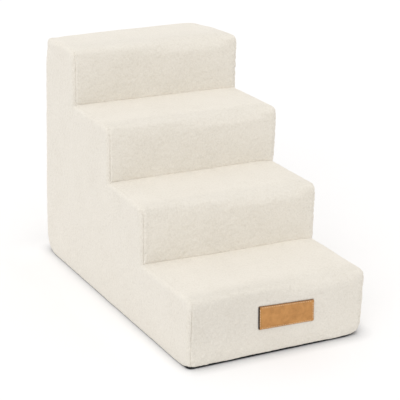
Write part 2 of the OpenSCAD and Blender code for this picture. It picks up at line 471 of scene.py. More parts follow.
def turn_faces(verts, outer_faces, rim, inner_faces):
    """Faces with every normal outwards. The outer surface is turned first, by its share of the
    rim: each rim edge must run one way in the surface and the other way in the rim."""
    rim_edges = set()
    for f in rim:
        for a, b in zip(f, list(f[1:]) + [f[0]]):
            rim_edges.add((a, b))
    out = []
    for faces in (outer_faces, inner_faces):
        same = opposite = 0
        for f in faces:
            for a, b in zip(f, f[1:] + f[:1]):
                if (a, b) in rim_edges:
                    same += 1
                elif (b, a) in rim_edges:
                    opposite += 1
        out.append([f[::-1] for f in faces] if same > opposite else faces)
    faces = out[0] + [list(f) for f in rim] + out[1]
    if volume(verts, faces) < 0:
        faces = [f[::-1] for f in faces]
    return faces


def cloth_piece(name, verts, outer_faces, rim, inner_faces, material):
    verts = warp(verts)
    faces = turn_faces(verts, outer_faces, rim, inner_faces)
    return add_mesh(name, verts, faces, material)


# ------------------------------------------------------------------ materials


def principled(name):
    m = bpy.data.materials.new(name)
    m.use_nodes = True
    nt = m.node_tree
    nt.nodes.clear()
    out = nt.nodes.new("ShaderNodeOutputMaterial")
    b = nt.nodes.new("ShaderNodeBsdfPrincipled")
    nt.links.new(b.outputs[0], out.inputs[0])
    return m, nt, b


def node(nt, kind, **values):
    n = nt.nodes.new(kind)
    for k, v in values.items():
        if k in n.inputs.keys():
            n.inputs[k].default_value = v
        else:
            setattr(n, k, v)
    return n


def coords(nt, scale=(1, 1, 1), rotation=(0, 0, 0)):
    c = nt.nodes.new("ShaderNodeTexCoord")
    m = nt.nodes.new("ShaderNodeMapping")
    m.inputs["Scale"].default_value = scale
    m.inputs["Rotation"].default_value = rotation
    nt.links.new(c.outputs["Object"], m.inputs["Vector"])
    return m.outputs[0]


def ramp(nt, source, stops):
    r = nt.nodes.new("ShaderNodeValToRGB")
    while len(r.color_ramp.elements) > 1:
        r.color_ramp.elements.remove(r.color_ramp.elements[-1])
    r.color_ramp.elements[0].position = stops[0][0]
    r.color_ramp.elements[0].color = (*stops[0][1], 1)
    for p, c in stops[1:]:
        e = r.color_ramp.elements.new(p)
        e.color = (*c, 1)
    nt.links.new(source, r.inputs[0])
    return r.outputs[0]


def math_node(nt, op, a, b=0.5, clamp=False):
    n = nt.nodes.new("ShaderNodeMath")
    n.operation = op
    n.use_clamp = clamp
    for k, v in enumerate((a, b)):
        if isinstance(v, (int, float)):
            n.inputs[k].default_value = v
        else:
            nt.links.new(v, n.inputs[k])
    return n.outputs[0]


def bump(nt, bsdf, height, strength, distance):
    b = nt.nodes.new("ShaderNodeBump")
    b.inputs["Strength"].default_value = strength
    b.inputs["Distance"].default_value = distance
    nt.links.new(height, b.inputs["Height"])
    nt.links.new(b.outputs[0], bsdf.inputs["Normal"])


def tex(nt, kind, vector, scale, **values):
    n = nt.nodes.new(kind)
    nt.links.new(vector, n.inputs["Vector"])
    n.inputs["Scale"].default_value = scale
    for k, v in values.items():
        if k in n.inputs.keys():
            n.inputs[k].default_value = v
        else:
            setattr(n, k, v)
    return n


def between(nt, source, a, b, high=1.0, low=0.0):
    """low before a and high after b, with a soft change; a may lie past b."""
    n = nt.nodes.new("ShaderNodeMapRange")
    n.interpolation_type = "SMOOTHSTEP"
    to = (low, high) if a < b else (high, low)
    for name, v in zip(("From Min", "From Max", "To Min", "To Max"), (min(a, b), max(a, b), *to)):
        n.inputs[name].default_value = v
    nt.links.new(source, n.inputs["Value"])
    return n.outputs[0]


def painted_light_and_shade(nt):
    """A factor for the pile's colour that paints light and shade by place: a little painted shade over the nosings and
    up the lowest riser, and painted light in the creases at the risers' feet."""
    c = nt.nodes.new("ShaderNodeTexCoord")
    split = nt.nodes.new("ShaderNodeSeparateXYZ")
    nt.links.new(c.outputs["Object"], split.inputs[0])
    x, y, z = split.outputs
    side = math_node(nt, "ABSOLUTE", x)
    total = 1.0
    # painted shade over each nosing
    for i, (behind, half, much) in enumerate(((22, 24, 0.035), (20, 24, 0.045), (20, 24, 0.045), (34, 46, 0.045))):
        front, top = (YF[i] + Y_SHIFT) / 1000, ZT[i] / 1000
        off = math_node(nt, "ABSOLUTE", math_node(nt, "SUBTRACT", y, front + behind / 1000))
        k = between(nt, off, half / 1000, 0.004, much)
        k = math_node(nt, "MULTIPLY", k, between(nt, z, top - 0.022, top - 0.010))
        k = math_node(nt, "MULTIPLY", k, between(nt, side, 0.197, 0.183))
        total = math_node(nt, "SUBTRACT", total, k)
        # painted light in the crease where this riser meets the tread below, less towards the left end
        if i:
            dy = math_node(nt, "SUBTRACT", y, front)
            dz = math_node(nt, "SUBTRACT", z, ZT[i - 1] / 1000)
            r = math_node(nt, "ADD", math_node(nt, "MULTIPLY", dy, dy), math_node(nt, "MULTIPLY", dz, dz))
            r = math_node(nt, "SQRT", r)
            k = math_node(nt, "ADD", between(nt, r, 0.028, 0.006, 0.028), between(nt, r, 0.008, 0.001, 0.05))
            k = math_node(nt, "MULTIPLY", k, between(nt, x, -0.19, -0.11))
            total = math_node(nt, "ADD", total, k)
    # painted shade up the lowest riser, most at its left
    front = Y_SHIFT / 1000
    k = math_node(nt, "MULTIPLY", between(nt, y, front + 0.030, front + 0.008), between(nt, z, 0.012, 0.075))
    k = math_node(nt, "MULTIPLY", k, between(nt, x, 0.16, -0.16, 0.065, 0.035))
    k = math_node(nt, "MULTIPLY", k, between(nt, side, 0.2, 0.192))
    return math_node(nt, "SUBTRACT", total, k)


def plush_material():
    m, nt, b = principled("teddy_plush")
    c = coords(nt)
    tuft = tex(nt, "ShaderNodeTexVoronoi", c, 270.0, feature="SMOOTH_F1", Smoothness=0.35)
    curl = tex(nt, "ShaderNodeTexNoise", c, 520.0, Detail=4.0, Roughness=0.62, Distortion=0.7)
    nap = tex(nt, "ShaderNodeTexNoise", c, 16.0, Detail=3.0, Roughness=0.55)
    fleck = tex(nt, "ShaderNodeTexNoise", c, 900.0, Detail=2.0)
    # lighter on the tufts, with painted shade in the hollows between them, and slow patches where the nap lies another
    # way
    t = math_node(nt, "MULTIPLY", tuft.outputs["Distance"], 0.75)
    t = math_node(nt, "SUBTRACT", 1.0, t)
    t = math_node(nt, "ADD", math_node(nt, "MULTIPLY", t, 0.45), math_node(nt, "MULTIPLY", curl.outputs["Fac"], 0.35))
    t = math_node(nt, "ADD", t, math_node(nt, "MULTIPLY", nap.outputs["Fac"], 0.30))
    t = math_node(nt, "ADD", t, math_node(nt, "MULTIPLY", fleck.outputs["Fac"], 0.08))
    col = ramp(
        nt, t,
        [(0.30, (0.655, 0.612, 0.535)), (0.62, (0.748, 0.706, 0.632)), (0.92, (0.795, 0.757, 0.688))],
    )
    # the colour times the painted light and shade by place
    shade = nt.nodes.new("ShaderNodeVectorMath")
    shade.operation = "SCALE"
    nt.links.new(col, shade.inputs[0])
    nt.links.new(painted_light_and_shade(nt), shade.inputs["Scale"])
    nt.links.new(shade.outputs[0], b.inputs["Base Color"])
    b.inputs["Roughness"].default_value = 1.0
    b.inputs["Specular IOR Level"].default_value = 0.08
    b.inputs["Sheen Weight"].default_value = 0.55
    b.inputs["Sheen Roughness"].default_value = 0.55
    b.inputs["Sheen Tint"].default_value = (1.0, 0.97, 0.92, 1)
    h = math_node(nt, "SUBTRACT", math_node(nt, "MULTIPLY", curl.outputs["Fac"], 1.2), math_node(nt, "MULTIPLY", tuft.outputs["Distance"], 0.8))
    h = math_node(nt, "ADD", h, math_node(nt, "MULTIPLY", fleck.outputs["Fac"], 0.35))
    bump(nt, b, h, 0.55, 0.0009)
    return m


def foam_material():
    m, nt, b = principled("foam_cells")
    c = coords(nt)
    cell = tex(nt, "ShaderNodeTexVoronoi", c, 620.0)
    big = tex(nt, "ShaderNodeTexVoronoi", c, 210.0)
    age = tex(nt, "ShaderNodeTexNoise", c, 9.0, Detail=3.0)
    t = math_node(nt, "ADD", math_node(nt, "MULTIPLY", cell.outputs["Distance"], 0.6), math_node(nt, "MULTIPLY", age.outputs["Fac"], 0.5))
    nt.links.new(
        ramp(nt, t, [(0.15, (0.62, 0.56, 0.40)), (0.5, (0.80, 0.75, 0.58)), (0.9, (0.86, 0.82, 0.67))]),
        b.inputs["Base Color"],
    )
    b.inputs["Roughness"].default_value = 0.95
    b.inputs["Specular IOR Level"].default_value = 0.15
    h = math_node(nt, "ADD", cell.outputs["Distance"], math_node(nt, "MULTIPLY", big.outputs["Distance"], 0.8))
    bump(nt, b, h, 0.7, 0.0012)
    return m


def base_material():
    m, nt, b = principled("non_slip_fabric")
    weave = tex(nt, "ShaderNodeTexWave", coords(nt), 420.0, bands_direction="X", Distortion=0.6)
    weave2 = tex(nt, "ShaderNodeTexWave", coords(nt), 420.0, bands_direction="Y", Distortion=0.6)
    lint = tex(nt, "ShaderNodeTexNoise", coords(nt), 60.0, Detail=5.0, Roughness=0.7)
    w = math_node(nt, "MULTIPLY", weave.outputs["Fac"], weave2.outputs["Fac"])
    t = math_node(nt, "ADD", math_node(nt, "MULTIPLY", w, 0.5), math_node(nt, "MULTIPLY", lint.outputs["Fac"], 0.6))
    nt.links.new(
        ramp(nt, t, [(0.2, (0.010, 0.010, 0.011)), (0.6, (0.022, 0.022, 0.024)), (1.0, (0.045, 0.045, 0.048))]),
        b.inputs["Base Color"],
    )
    nt.links.new(ramp(nt, lint.outputs["Fac"], [(0.3, (0.7, 0.7, 0.7)), (0.7, (0.9, 0.9, 0.9))]), b.inputs["Roughness"])
    b.inputs["Specular IOR Level"].default_value = 0.3
    bump(nt, b, w, 0.5, 0.0004)
    return m


def dot_material():
    m, nt, b = principled("non_slip_dots")
    n = tex(nt, "ShaderNodeTexNoise", coords(nt), 300.0, Detail=3.0)
    nt.links.new(ramp(nt, n.outputs["Fac"], [(0.3, (0.016, 0.016, 0.017)), (0.7, (0.032, 0.032, 0.034))]), b.inputs["Base Color"])
    nt.links.new(ramp(nt, n.outputs["Fac"], [(0.3, (0.38, 0.38, 0.38)), (0.7, (0.55, 0.55, 0.55))]), b.inputs["Roughness"])
    bump(nt, b, n.outputs["Fac"], 0.25, 0.0002)
    return m


def tape_material():
    m, nt, b = principled("zip_tape_weave")
    c = coords(nt)
    d = coords(nt, rotation=(0, math.radians(40), 0))
    rib = tex(nt, "ShaderNodeTexWave", d, 260.0, bands_direction="X", Distortion=0.4)
    rib2 = tex(nt, "ShaderNodeTexWave", coords(nt, rotation=(0, math.radians(-40), 0)), 260.0, bands_direction="X", Distortion=0.4)
    n = tex(nt, "ShaderNodeTexNoise", c, 500.0, Detail=3.0)
    t = math_node(nt, "ADD", math_node(nt, "MULTIPLY", rib.outputs["Fac"], 0.4), math_node(nt, "MULTIPLY", rib2.outputs["Fac"], 0.4))
    t = math_node(nt, "ADD", t, math_node(nt, "MULTIPLY", n.outputs["Fac"], 0.3))
    nt.links.new(
        ramp(nt, t, [(0.2, (0.50, 0.46, 0.38)), (0.8, (0.63, 0.60, 0.52))]), b.inputs["Base Color"]
    )
    b.inputs["Roughness"].default_value = 0.85
    b.inputs["Sheen Weight"].default_value = 0.1
    bump(nt, b, t, 0.5, 0.0004)
    return m


def nylon_material():
    m, nt, b = principled("zip_coil_nylon")
    n = tex(nt, "ShaderNodeTexNoise", coords(nt), 380.0, Detail=2.0)
    nt.links.new(ramp(nt, n.outputs["Fac"], [(0.3, (0.60, 0.57, 0.50)), (0.7, (0.70, 0.67, 0.60))]), b.inputs["Base Color"])
    nt.links.new(ramp(nt, n.outputs["Fac"], [(0.3, (0.28, 0.28, 0.28)), (0.7, (0.4, 0.4, 0.4))]), b.inputs["Roughness"])
    b.inputs["Subsurface Weight"].default_value = 0.0
    bump(nt, b, n.outputs["Fac"], 0.15, 0.0001)
    return m


def metal_material():
    m, nt, b = principled("zip_metal_nickel")
    scratch = tex(nt, "ShaderNodeTexNoise", coords(nt, scale=(1, 1, 0.08)), 4200.0, Detail=4.0, Roughness=0.6)
    wear = tex(nt, "ShaderNodeTexNoise", coords(nt), 240.0, Detail=4.0, Roughness=0.6)
    nt.links.new(ramp(nt, wear.outputs["Fac"], [(0.3, (0.50, 0.495, 0.48)), (0.65, (0.66, 0.655, 0.64))]), b.inputs["Base Color"])
    r = math_node(nt, "ADD", math_node(nt, "MULTIPLY", scratch.outputs["Fac"], 0.22), math_node(nt, "MULTIPLY", wear.outputs["Fac"], 0.2))
    nt.links.new(r, b.inputs["Roughness"])
    b.inputs["Metallic"].default_value = 1.0
    bump(nt, b, scratch.outputs["Fac"], 0.12, 0.00005)
    return m


def leather_material():
    m, nt, b = principled("patch_leather")
    c = coords(nt)
    grain = tex(nt, "ShaderNodeTexVoronoi", c, 900.0, feature="SMOOTH_F1", Smoothness=0.4)
    pore = tex(nt, "ShaderNodeTexNoise", c, 1500.0, Detail=4.0, Roughness=0.65)
    tone = tex(nt, "ShaderNodeTexNoise", c, 55.0, Detail=5.0, Roughness=0.6, Distortion=0.4)
    t = math_node(nt, "ADD", math_node(nt, "MULTIPLY", tone.outputs["Fac"], 0.7), math_node(nt, "MULTIPLY", pore.outputs["Fac"], 0.3))
    t = math_node(nt, "SUBTRACT", t, math_node(nt, "MULTIPLY", grain.outputs["Distance"], 0.12))
    nt.links.new(
        ramp(nt, t, [(0.28, (0.37, 0.165, 0.044)), (0.48, (0.51, 0.243, 0.072)), (0.70, (0.63, 0.325, 0.108))]),
        b.inputs["Base Color"],
    )
    nt.links.new(ramp(nt, tone.outputs["Fac"], [(0.3, (0.5, 0.5, 0.5)), (0.7, (0.64, 0.64, 0.64))]), b.inputs["Roughness"])
    b.inputs["Specular IOR Level"].default_value = 0.35
    h = math_node(nt, "SUBTRACT", math_node(nt, "MULTIPLY", pore.outputs["Fac"], 0.5), grain.outputs["Distance"])
    bump(nt, b, h, 0.35, 0.0003)
    return m


def edge_material(name, dark, light):
    m, nt, b = principled(name)
    n = tex(nt, "ShaderNodeTexNoise", coords(nt), 700.0, Detail=3.0)
    nt.links.new(ramp(nt, n.outputs["Fac"], [(0.3, dark), (0.7, light)]), b.inputs["Base Color"])
    b.inputs["Roughness"].default_value = 0.6
    bump(nt, b, n.outputs["Fac"], 0.3, 0.0002)
    return m


def thread_material(name, dark, light):
    m, nt, b = principled(name)
    twist = tex(nt, "ShaderNodeTexWave", coords(nt, rotation=(0, math.radians(35), math.radians(35))), 900.0, Distortion=0.5)
    nt.links.new(ramp(nt, twist.outputs["Fac"], [(0.1, dark), (0.9, light)]), b.inputs["Base Color"])
    b.inputs["Roughness"].default_value = 0.7
    b.inputs["Sheen Weight"].default_value = 0.2
    bump(nt, b, twist.outputs["Fac"], 0.5, 0.0002)
    return m


PLUSH = plush_material()
FOAM = foam_material()
BASE = base_material()
DOTS = dot_material()
TAPE = tape_material()
NYLON = nylon_material()
METAL = metal_material()
LEATHER = leather_material()
# near black: edge paint, and painted shadow where it lies on the patch's face at the left end
EDGE = edge_material("patch_edge_paint_and_shadow", (0.010, 0.006, 0.004), (0.030, 0.016, 0.009))
EDGE_BROWN = edge_material("patch_edge_cut", (0.17, 0.080, 0.028), (0.34, 0.165, 0.060))
THREAD = thread_material("patch_thread", (0.66, 0.41, 0.20), (0.88, 0.66, 0.42))
CREAM_THREAD = thread_material("cream_thread", (0.42, 0.38, 0.31), (0.62, 0.58, 0.50))


# ------------------------------------------------------------------ cover: the four steps

PATCH_W, PATCH_H, PATCH_T = 126.0, 47.0, 3.0
PATCH_X, PATCH_Z, PATCH_TILT = 17.0, 78.4, math.radians(-1.5)
PATCH_LEAN = 0.085  # sewn on a little askew
PATCH_FLARE, PATCH_RISE = 0.06, 1.6  # cut a little taller at its left end, and higher there


def seam_share(i, s):
    """How open the side seam lies at distance s: deep on the risers and the back, pulled flat
    on the treads and nosings."""
    if i == 4:
        return 0.2 + 0.8 * smooth(s, 0.0, 25.0)
    line = np.stack((s, np.full(len(s), 60.0 * i), np.zeros(len(s))), 1)
    k = smooth(OUT[i].rise + 20.0 - s, 0.0, 26.0)
    share = 0.2 + (0.32 + 0.6 * noise(line, 8.0, 33)) * k
    if i == 0:
        share += 0.2 * k + 0.45 * np.exp(-(((s - OUT[0].rise) / 6.0) ** 2))
    return share


def upright(i, s):
    """1 on the riser, 0 on the tread."""
    return 1 - smooth(s, OUT[i].rise + 2.0, OUT[i].rise + OUT[i].arc[-1])


def under_patch(x, z):
    """Distance outside the patch's outline, negative under it."""
    c, s = math.cos(PATCH_TILT), math.sin(PATCH_TILT)
    u, v = x - PATCH_X, z - PATCH_Z
    u, v = u * c + v * s, -u * s + v * c
    left = 0.5 - u / PATCH_W
    v = (v - PATCH_RISE * left) / (1 + PATCH_FLARE * left)
    a, b = np.abs(u + PATCH_LEAN * v) - PATCH_W / 2, np.abs(v) - PATCH_H / 2
    return np.where(
        (a > 0) & (b > 0), np.hypot(np.maximum(a, 0), np.maximum(b, 0)), np.maximum(a, b)
    )


def tufts(P, seed):
    """Pile that a seam has caught and turned every way."""
    return curls(P * (1.0, 1.0, 0.75), 5.2, seed) - 0.5


def step_heights(i, s, t, P, d_lat):
    """Height of the plush over the plain shape for step i's panel."""
    o = OUT[i]
    inside = smooth(d_lat, 1.0, 13.0)
    h = swell(P)
    d_foot, d_back = s, o.length - s
    d = d_lat.copy()
    if i:
        d = np.minimum(d, d_foot)
        h -= groove(d_foot, FOOT_DEPTH, FOOT_WIDTH) * inside
        h += pucker(P[:, 0], d_foot, 40 + i) * 0.6 * inside
    if i < 3:
        d = np.minimum(d, d_back)
        h -= groove(d_back, REAR_DEPTH, REAR_WIDTH) * inside
        h += pucker(P[:, 0], d_back, 50 + i) * 0.25 * inside
    else:
        d = np.minimum(d, d_back)
        h -= groove(d_back, SEAM_DEPTH, SEAM_WIDTH) * smooth(d_lat, 0.0, 3.0)
        h += pucker(P[:, 0], d_back, 60) * smooth(d_lat, 0.0, 6.0)
    up = upright(i, s)
    h -= groove(d_lat, SEAM_DEPTH, SEAM_WIDTH) * seam_share(i, s)
    ends = smooth(d_foot, 0, 8) * smooth(d_back, 0, 8)
    h += pucker(s + 900.0 * i, d_lat, 20) * ends * (0.45 + 0.85 * up)
    h += 2.6 * tufts(P, 44) * np.exp(-(((d_lat - 3.5) / 4.6) ** 2)) * ends * up
    h -= 0.8 * np.exp(-((d_lat / 3.6) ** 2)) * ends * up
    ruffled = 1.11 + (1.2 * smooth(-P[:, 0], 0.0, 150.0) if i == 0 else 0.0)
    h += pile(P, d, 0.19 + ruffled * up)
    if i == 0:
        e = under_patch(P[:, 0], P[:, 2])
        flat = smooth(e, 1.5, -1.5) * (s < o.rise)
        h = h * (1 - flat) + (swell(P) - 0.9) * flat
        h += 0.35 * np.exp(-(((e - 3.0) / 2.2) ** 2)) * (s < o.rise)
    return h


def lateral(t):
    phi = np.clip((np.abs(t) - FLAT) / EDGE_R, 0, SEAM_PHI)
    return EDGE_R * (1 - np.cos(phi)), phi


def build_step(i):
    s = STEP_S[i]
    t = spaced(2 * SEAM, 1.75) - SEAM
    n, m = len(s), len(t)
    delta, phi = lateral(t)
    side = np.sign(t)

    def point(hh, ss=s):
        y, z = on_step(i, ss, np.broadcast_to(delta, hh.shape), phi, hh)
        x = np.where(np.abs(t) <= FLAT, t, side * (FLAT + (EDGE_R + hh) * np.sin(phi)))
        return np.stack((np.broadcast_to(x, hh.shape), y, z), -1)

    plain = point(np.zeros((n, m))).reshape(-1, 3)
    ss, tt = np.repeat(s, m), np.tile(t, n)
    h = step_heights(i, ss, tt, plain, SEAM - np.abs(tt)).reshape(n, m)
    outer = point(h).reshape(-1, 3)
    idx = np.arange(n * m).reshape(n, m)
    quads = np.stack((idx[:-1, :-1], idx[:-1, 1:], idx[1:, 1:], idx[1:, :-1]), -1).reshape(-1, 4)
    loop = np.concatenate((idx[0, :-1], idx[:-1, -1], idx[-1, :0:-1], idx[:0:-1, 0]))

    # the backing: the same rim, and a coarse net inside it
    rim_s, rim_t = ss[loop], tt[loop]
    gs = np.linspace(0, OUT[i].length, max(4, round(OUT[i].length / 12)))[1:-1]
    arc = OUT[i].rise + np.linspace(0, OUT[i].arc[-1], 9)
    gs = np.unique(np.concatenate((gs[(gs < arc[0] - 4) | (gs > arc[-1] + 4)], arc)))
    if i == 3:
        bend = OUT[i].length - np.linspace(2.5, OUT[i].over + 2, 7)
        gs = np.unique(np.concatenate((gs[gs < bend.min() - 3], bend)))
    gt = np.linspace(-SEAM + 4, SEAM - 4, 31)
    a, b = np.meshgrid(gs, gt, indexing="ij")
    in_s, in_t = np.concatenate((rim_s, a.ravel())), np.concatenate((rim_t, b.ravel()))
    faces = triangles(np.stack((in_t, in_s), 1), np.arange(len(loop)))
    d2, p2 = lateral(in_t)
    inset = d2 + CLOTH * np.cos(p2)
    y, z = OUT[i].at(in_s, inset, inset if i else 0.0, inset if i < 3 else 0.0)
    x = np.where(np.abs(in_t) <= FLAT, in_t, np.sign(in_t) * (FLAT + (EDGE_R - CLOTH) * np.sin(p2)))
    inner = np.stack((x, y, z), 1)
    v, f1, rim, f2 = shell(outer, quads, loop, inner, faces)
    o = cloth_piece(f"plush_step_{i + 1}", v, f1, rim, f2, PLUSH)
    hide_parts(f"cover_step_{i + 1}")
    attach(o, "stairs")
    return o


# ------------------------------------------------------------------ cover: the sides


def hem_height(y):
    return HEM_Z + (BASE_Z - HEM_Z) * np.exp(-((np.clip(y - SEAM_IN, 0, None) / 22.0) ** 2))


RINGS = np.array(
    (0.0, 0.2, 0.5, 0.95, 1.5, 2.15, 2.9, 3.75, 5.0, 6.6, 8.4, 10.3, EDGE_R * (math.pi / 2 - SEAM_PHI))
)
RING_PHI = np.concatenate((SEAM_PHI + RINGS / EDGE_R, [math.pi / 2] * 3))
RING_D = np.concatenate((RINGS, RINGS[-1] + np.array((1.7, 3.4, 5.1))))
RING_DELTA = np.concatenate((EDGE_R * (1 - np.cos(SEAM_PHI + RINGS / EDGE_R)), EDGE_R + np.array((1.7, 3.4, 5.1))))


def inside_outline(y, z, inset):
    """Points further than inset inside the stepped outline, with square corners in the creases."""
    ok = np.zeros(len(y), bool)
    for i in range(4):
        here = (y > YF[i] + inset) & (y < D - inset) & (z < ZT[i] - inset)
        cy, cz = YF[i] + NOSE_Y, ZT[i] - NOSE_Z
        r = ((y - cy) / (NOSE_Y - inset)) ** 2 + ((z - cz) / max(NOSE_Z - inset, 1)) ** 2
        here &= ~((y < cy) & (z > cz) & (r > 1))
        ok |= here
    r = np.hypot(y - (D - BACK_R), z - (500 - BACK_R))
    ok &= ~((y > D - BACK_R) & (z > 500 - BACK_R) & (r > max(BACK_R - inset, 0)))
    return ok


def build_side(side):
    k = len(RING_D)
    delta = RING_DELTA
    phi = RING_PHI
    rows_s, rows_i = [], []
    for i in range(4):
        rows_s.append(STEP_S[i] if i == 0 else STEP_S[i][1:])
        rows_i.append(np.full(len(rows_s[-1]), i))
    low = BASE_Z - hem_height(delta)

    def rings(h_parts, h_back, cols=slice(None)):
        """Ring points, rows along the outline and columns inwards."""
        out = []
        d, p = delta[cols], phi[cols]
        for i in range(4):
            h = h_parts[i]
            y, z = on_step(i, STEP_S[i], np.broadcast_to(d, h.shape), p, h, low=low[cols])
            x = FLAT + (EDGE_R + h) * np.sin(p)
            part = np.stack((np.broadcast_to(x, h.shape), y, z), -1)
            out.append(part if i == 0 else part[1:])
        h = h_back
        y = D - (d - h * np.cos(p))
        end_z = 500 - BACK_R
        z = end_z + (HEM_Z - end_z) * (BACK_S / BACK_S[-1])[:, None] + 0 * h
        x = FLAT + (EDGE_R + h) * np.sin(p)
        out.append(np.stack((np.broadcast_to(x, h.shape), y, z), -1)[1:])
        return np.concatenate(out)

    zero = [np.zeros((len(STEP_S[i]), k)) for i in range(4)]
    zero_back = np.zeros((len(BACK_S), k))
    plain = rings(zero, zero_back)

    def heights(i, s, length):
        n = len(s)
        # plain points of this part, for the noise
        if i < 4:
            y, z = on_step(i, s, np.broadcast_to(delta, (n, k)), phi, np.zeros((n, k)), low=low)
        else:
            y = np.broadcast_to(D - delta, (n, k))
            end_z = 500 - BACK_R
            z = np.broadcast_to((end_z + (HEM_Z - end_z) * (s / s[-1]))[:, None], (n, k))
        x = np.broadcast_to(FLAT + EDGE_R * np.sin(phi), (n, k))
        P = np.stack((side * x, y, z), -1).reshape(-1, 3)
        d = np.tile(RING_D, n)
        ss = np.repeat(s, k)
        h = swell(P) - groove(d, SEAM_DEPTH, SEAM_WIDTH) * seam_share(i, ss)
        ends = smooth(ss, 0, 8) * smooth(length - ss, 0, 8)
        up = upright(i, ss) if i < 4 else np.ones(len(ss))
        h += pucker(ss + 900.0 * i + 50.0 * side, d, 30) * ends * (0.45 + 0.75 * up)
        if i < 4:
            h += 2.5 * tufts(P, 45) * np.exp(-(((d - 4.0) / 5.4) ** 2)) * ends * up
            h -= 0.8 * np.exp(-((d / 3.6) ** 2)) * ends * up
        h += pile(P, d, 0.85)
        return h.reshape(n, k)

    h_parts = [heights(i, STEP_S[i], OUT[i].length) for i in range(4)]
    h_back = heights(4, BACK_S, BACK_S[-1])
    ring = rings(h_parts, h_back)
    n = len(ring)

    # the field inside the rings
    step = 2.0
    gy, gz = np.meshgrid(np.arange(1.0, D, step), np.arange(0.0, 500.0, step * 0.866), indexing="ij")
    gz = gz + HEM_Z + 5.0
    gy = gy + (np.arange(gz.shape[1]) % 2) * step / 2
    gy, gz = gy.ravel(), gz.ravel()
    keep = inside_outline(gy, gz, RING_DELTA[-1] + 1.0)
    gy, gz = gy[keep], gz[keep]
    by = np.arange(RING_DELTA[-1] + 1.7, D - RING_DELTA[-1] - 1.0, 1.9)
    by = np.linspace(RING_DELTA[-1], D - RING_DELTA[-1], len(by) + 2)[1:-1]
    extra_y, extra_z = [], []
    for dz in (0.3, 0.8, 1.5, 2.4, 3.5):
        extra_y.append(by)
        extra_z.append(hem_height(by) + dz)
    fy = np.concatenate((by, gy, *extra_y))
    fz = np.concatenate((hem_height(by), gz, *extra_z))
    nb = len(by)
    P = np.stack((np.full(len(fy), side * W / 2), fy, fz), 1)
    hf = swell(P) + pile(P, np.full(len(P), 9.0), 0.85)
    field = np.stack((W / 2 + hf, fy, fz), 1)

    plane = np.concatenate((plain[:, :, 1:].reshape(-1, 2), np.stack((fy, fz), 1)))
    outer = np.concatenate((ring.reshape(-1, 3), field))
    idx = np.arange(n * k).reshape(n, k)
    loop = np.concatenate((idx[:, 0], idx[-1, 1:], n * k + np.arange(nb)[::-1], idx[0, :0:-1]))
    tri = triangles(plane, loop)

    # backing
    gy, gz = np.meshgrid(np.arange(6.0, D, 13.0), np.arange(7.0, 500.0, 13.0), indexing="ij")
    gy, gz = gy.ravel(), gz.ravel()
    keep = inside_outline(gy, gz, 13.0)
    gy, gz = gy[keep], gz[keep]
    cols = np.array([len(RINGS) - 1])
    mid = rings([z[:, cols] for z in zero], zero_back[:, cols], cols)[::6, 0, 1:]
    rim_plane = plane[loop]
    keep = inside_outline(mid[:, 0], mid[:, 1], EDGE_R - 0.6) & (mid[:, 1] > 8)
    mid = mid[keep]
    in_plane = np.concatenate((rim_plane, mid, np.stack((gy, gz), 1)))
    in_tri = triangles(in_plane, np.arange(len(loop)))
    down = rings([np.full_like(z, -CLOTH) for z in zero], np.full_like(zero_back, -CLOTH))
    flat_in = np.concatenate((down.reshape(-1, 3), np.stack((np.full(len(fy), W / 2 - CLOTH), fy, fz), 1)))
    inner = np.concatenate(
        (
            flat_in[loop],
            np.stack((np.full(len(mid) + len(gy), W / 2 - CLOTH), in_plane[len(loop):, 0], in_plane[len(loop):, 1]), 1),
        )
    )
    v, f1, rim, f2 = shell(outer, tri, loop, inner, in_tri)
    v[:, 0] *= side
    name = "right" if side > 0 else "left"
    o = cloth_piece(f"plush_{name}_side", v, f1, rim, f2, PLUSH)
    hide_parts(f"cover_{name}_side")
    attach(o, "stairs")
    return o


# ------------------------------------------------------------------ cover: the back


def chain_line(top, step=1.9, ends=True):
    """Points and outward directions along the zip's middle, from the left end round to the right."""
    leg = top - ZIP_Z - ZIP_R
    arc = ZIP_R * math.pi / 2
    run = 2 * (ZIP_X - ZIP_R)
    total = 2 * leg + 2 * arc + run
    u = spaced(total, step) if ends else np.linspace(0, total, max(2, round(total / step)) + 1)
    return u, *chain_at(u, top)


def chain_at(u, top):
    leg = top - ZIP_Z - ZIP_R
    arc = ZIP_R * math.pi / 2
    run = 2 * (ZIP_X - ZIP_R)
    u = np.asarray(u, float)
    x, z, nx, nz = (np.zeros_like(u) for _ in range(4))
    a = u < leg
    x[a], z[a], nx[a] = -ZIP_X, top - u[a], -1
    a = (u >= leg) & (u < leg + arc)
    t = (u[a] - leg) / ZIP_R
    x[a], z[a] = -ZIP_X + ZIP_R - ZIP_R * np.cos(t), ZIP_Z + ZIP_R - ZIP_R * np.sin(t)
    nx[a], nz[a] = -np.cos(t), -np.sin(t)
    a = (u >= leg + arc) & (u < leg + arc + run)
    x[a], z[a], nz[a] = -ZIP_X + ZIP_R + (u[a] - leg - arc), ZIP_Z, -1
    a = (u >= leg + arc + run) & (u < leg + 2 * arc + run)
    t = (u[a] - leg - arc - run) / ZIP_R
    x[a], z[a] = ZIP_X - ZIP_R + ZIP_R * np.sin(t), ZIP_Z + ZIP_R - ZIP_R * np.cos(t)
    nx[a], nz[a] = np.sin(t), -np.cos(t)
    a = u >= leg + 2 * arc + run
    x[a], z[a], nx[a] = ZIP_X, ZIP_Z + ZIP_R + (u[a] - leg - 2 * arc - run), 1
    return x, z, nx, nz


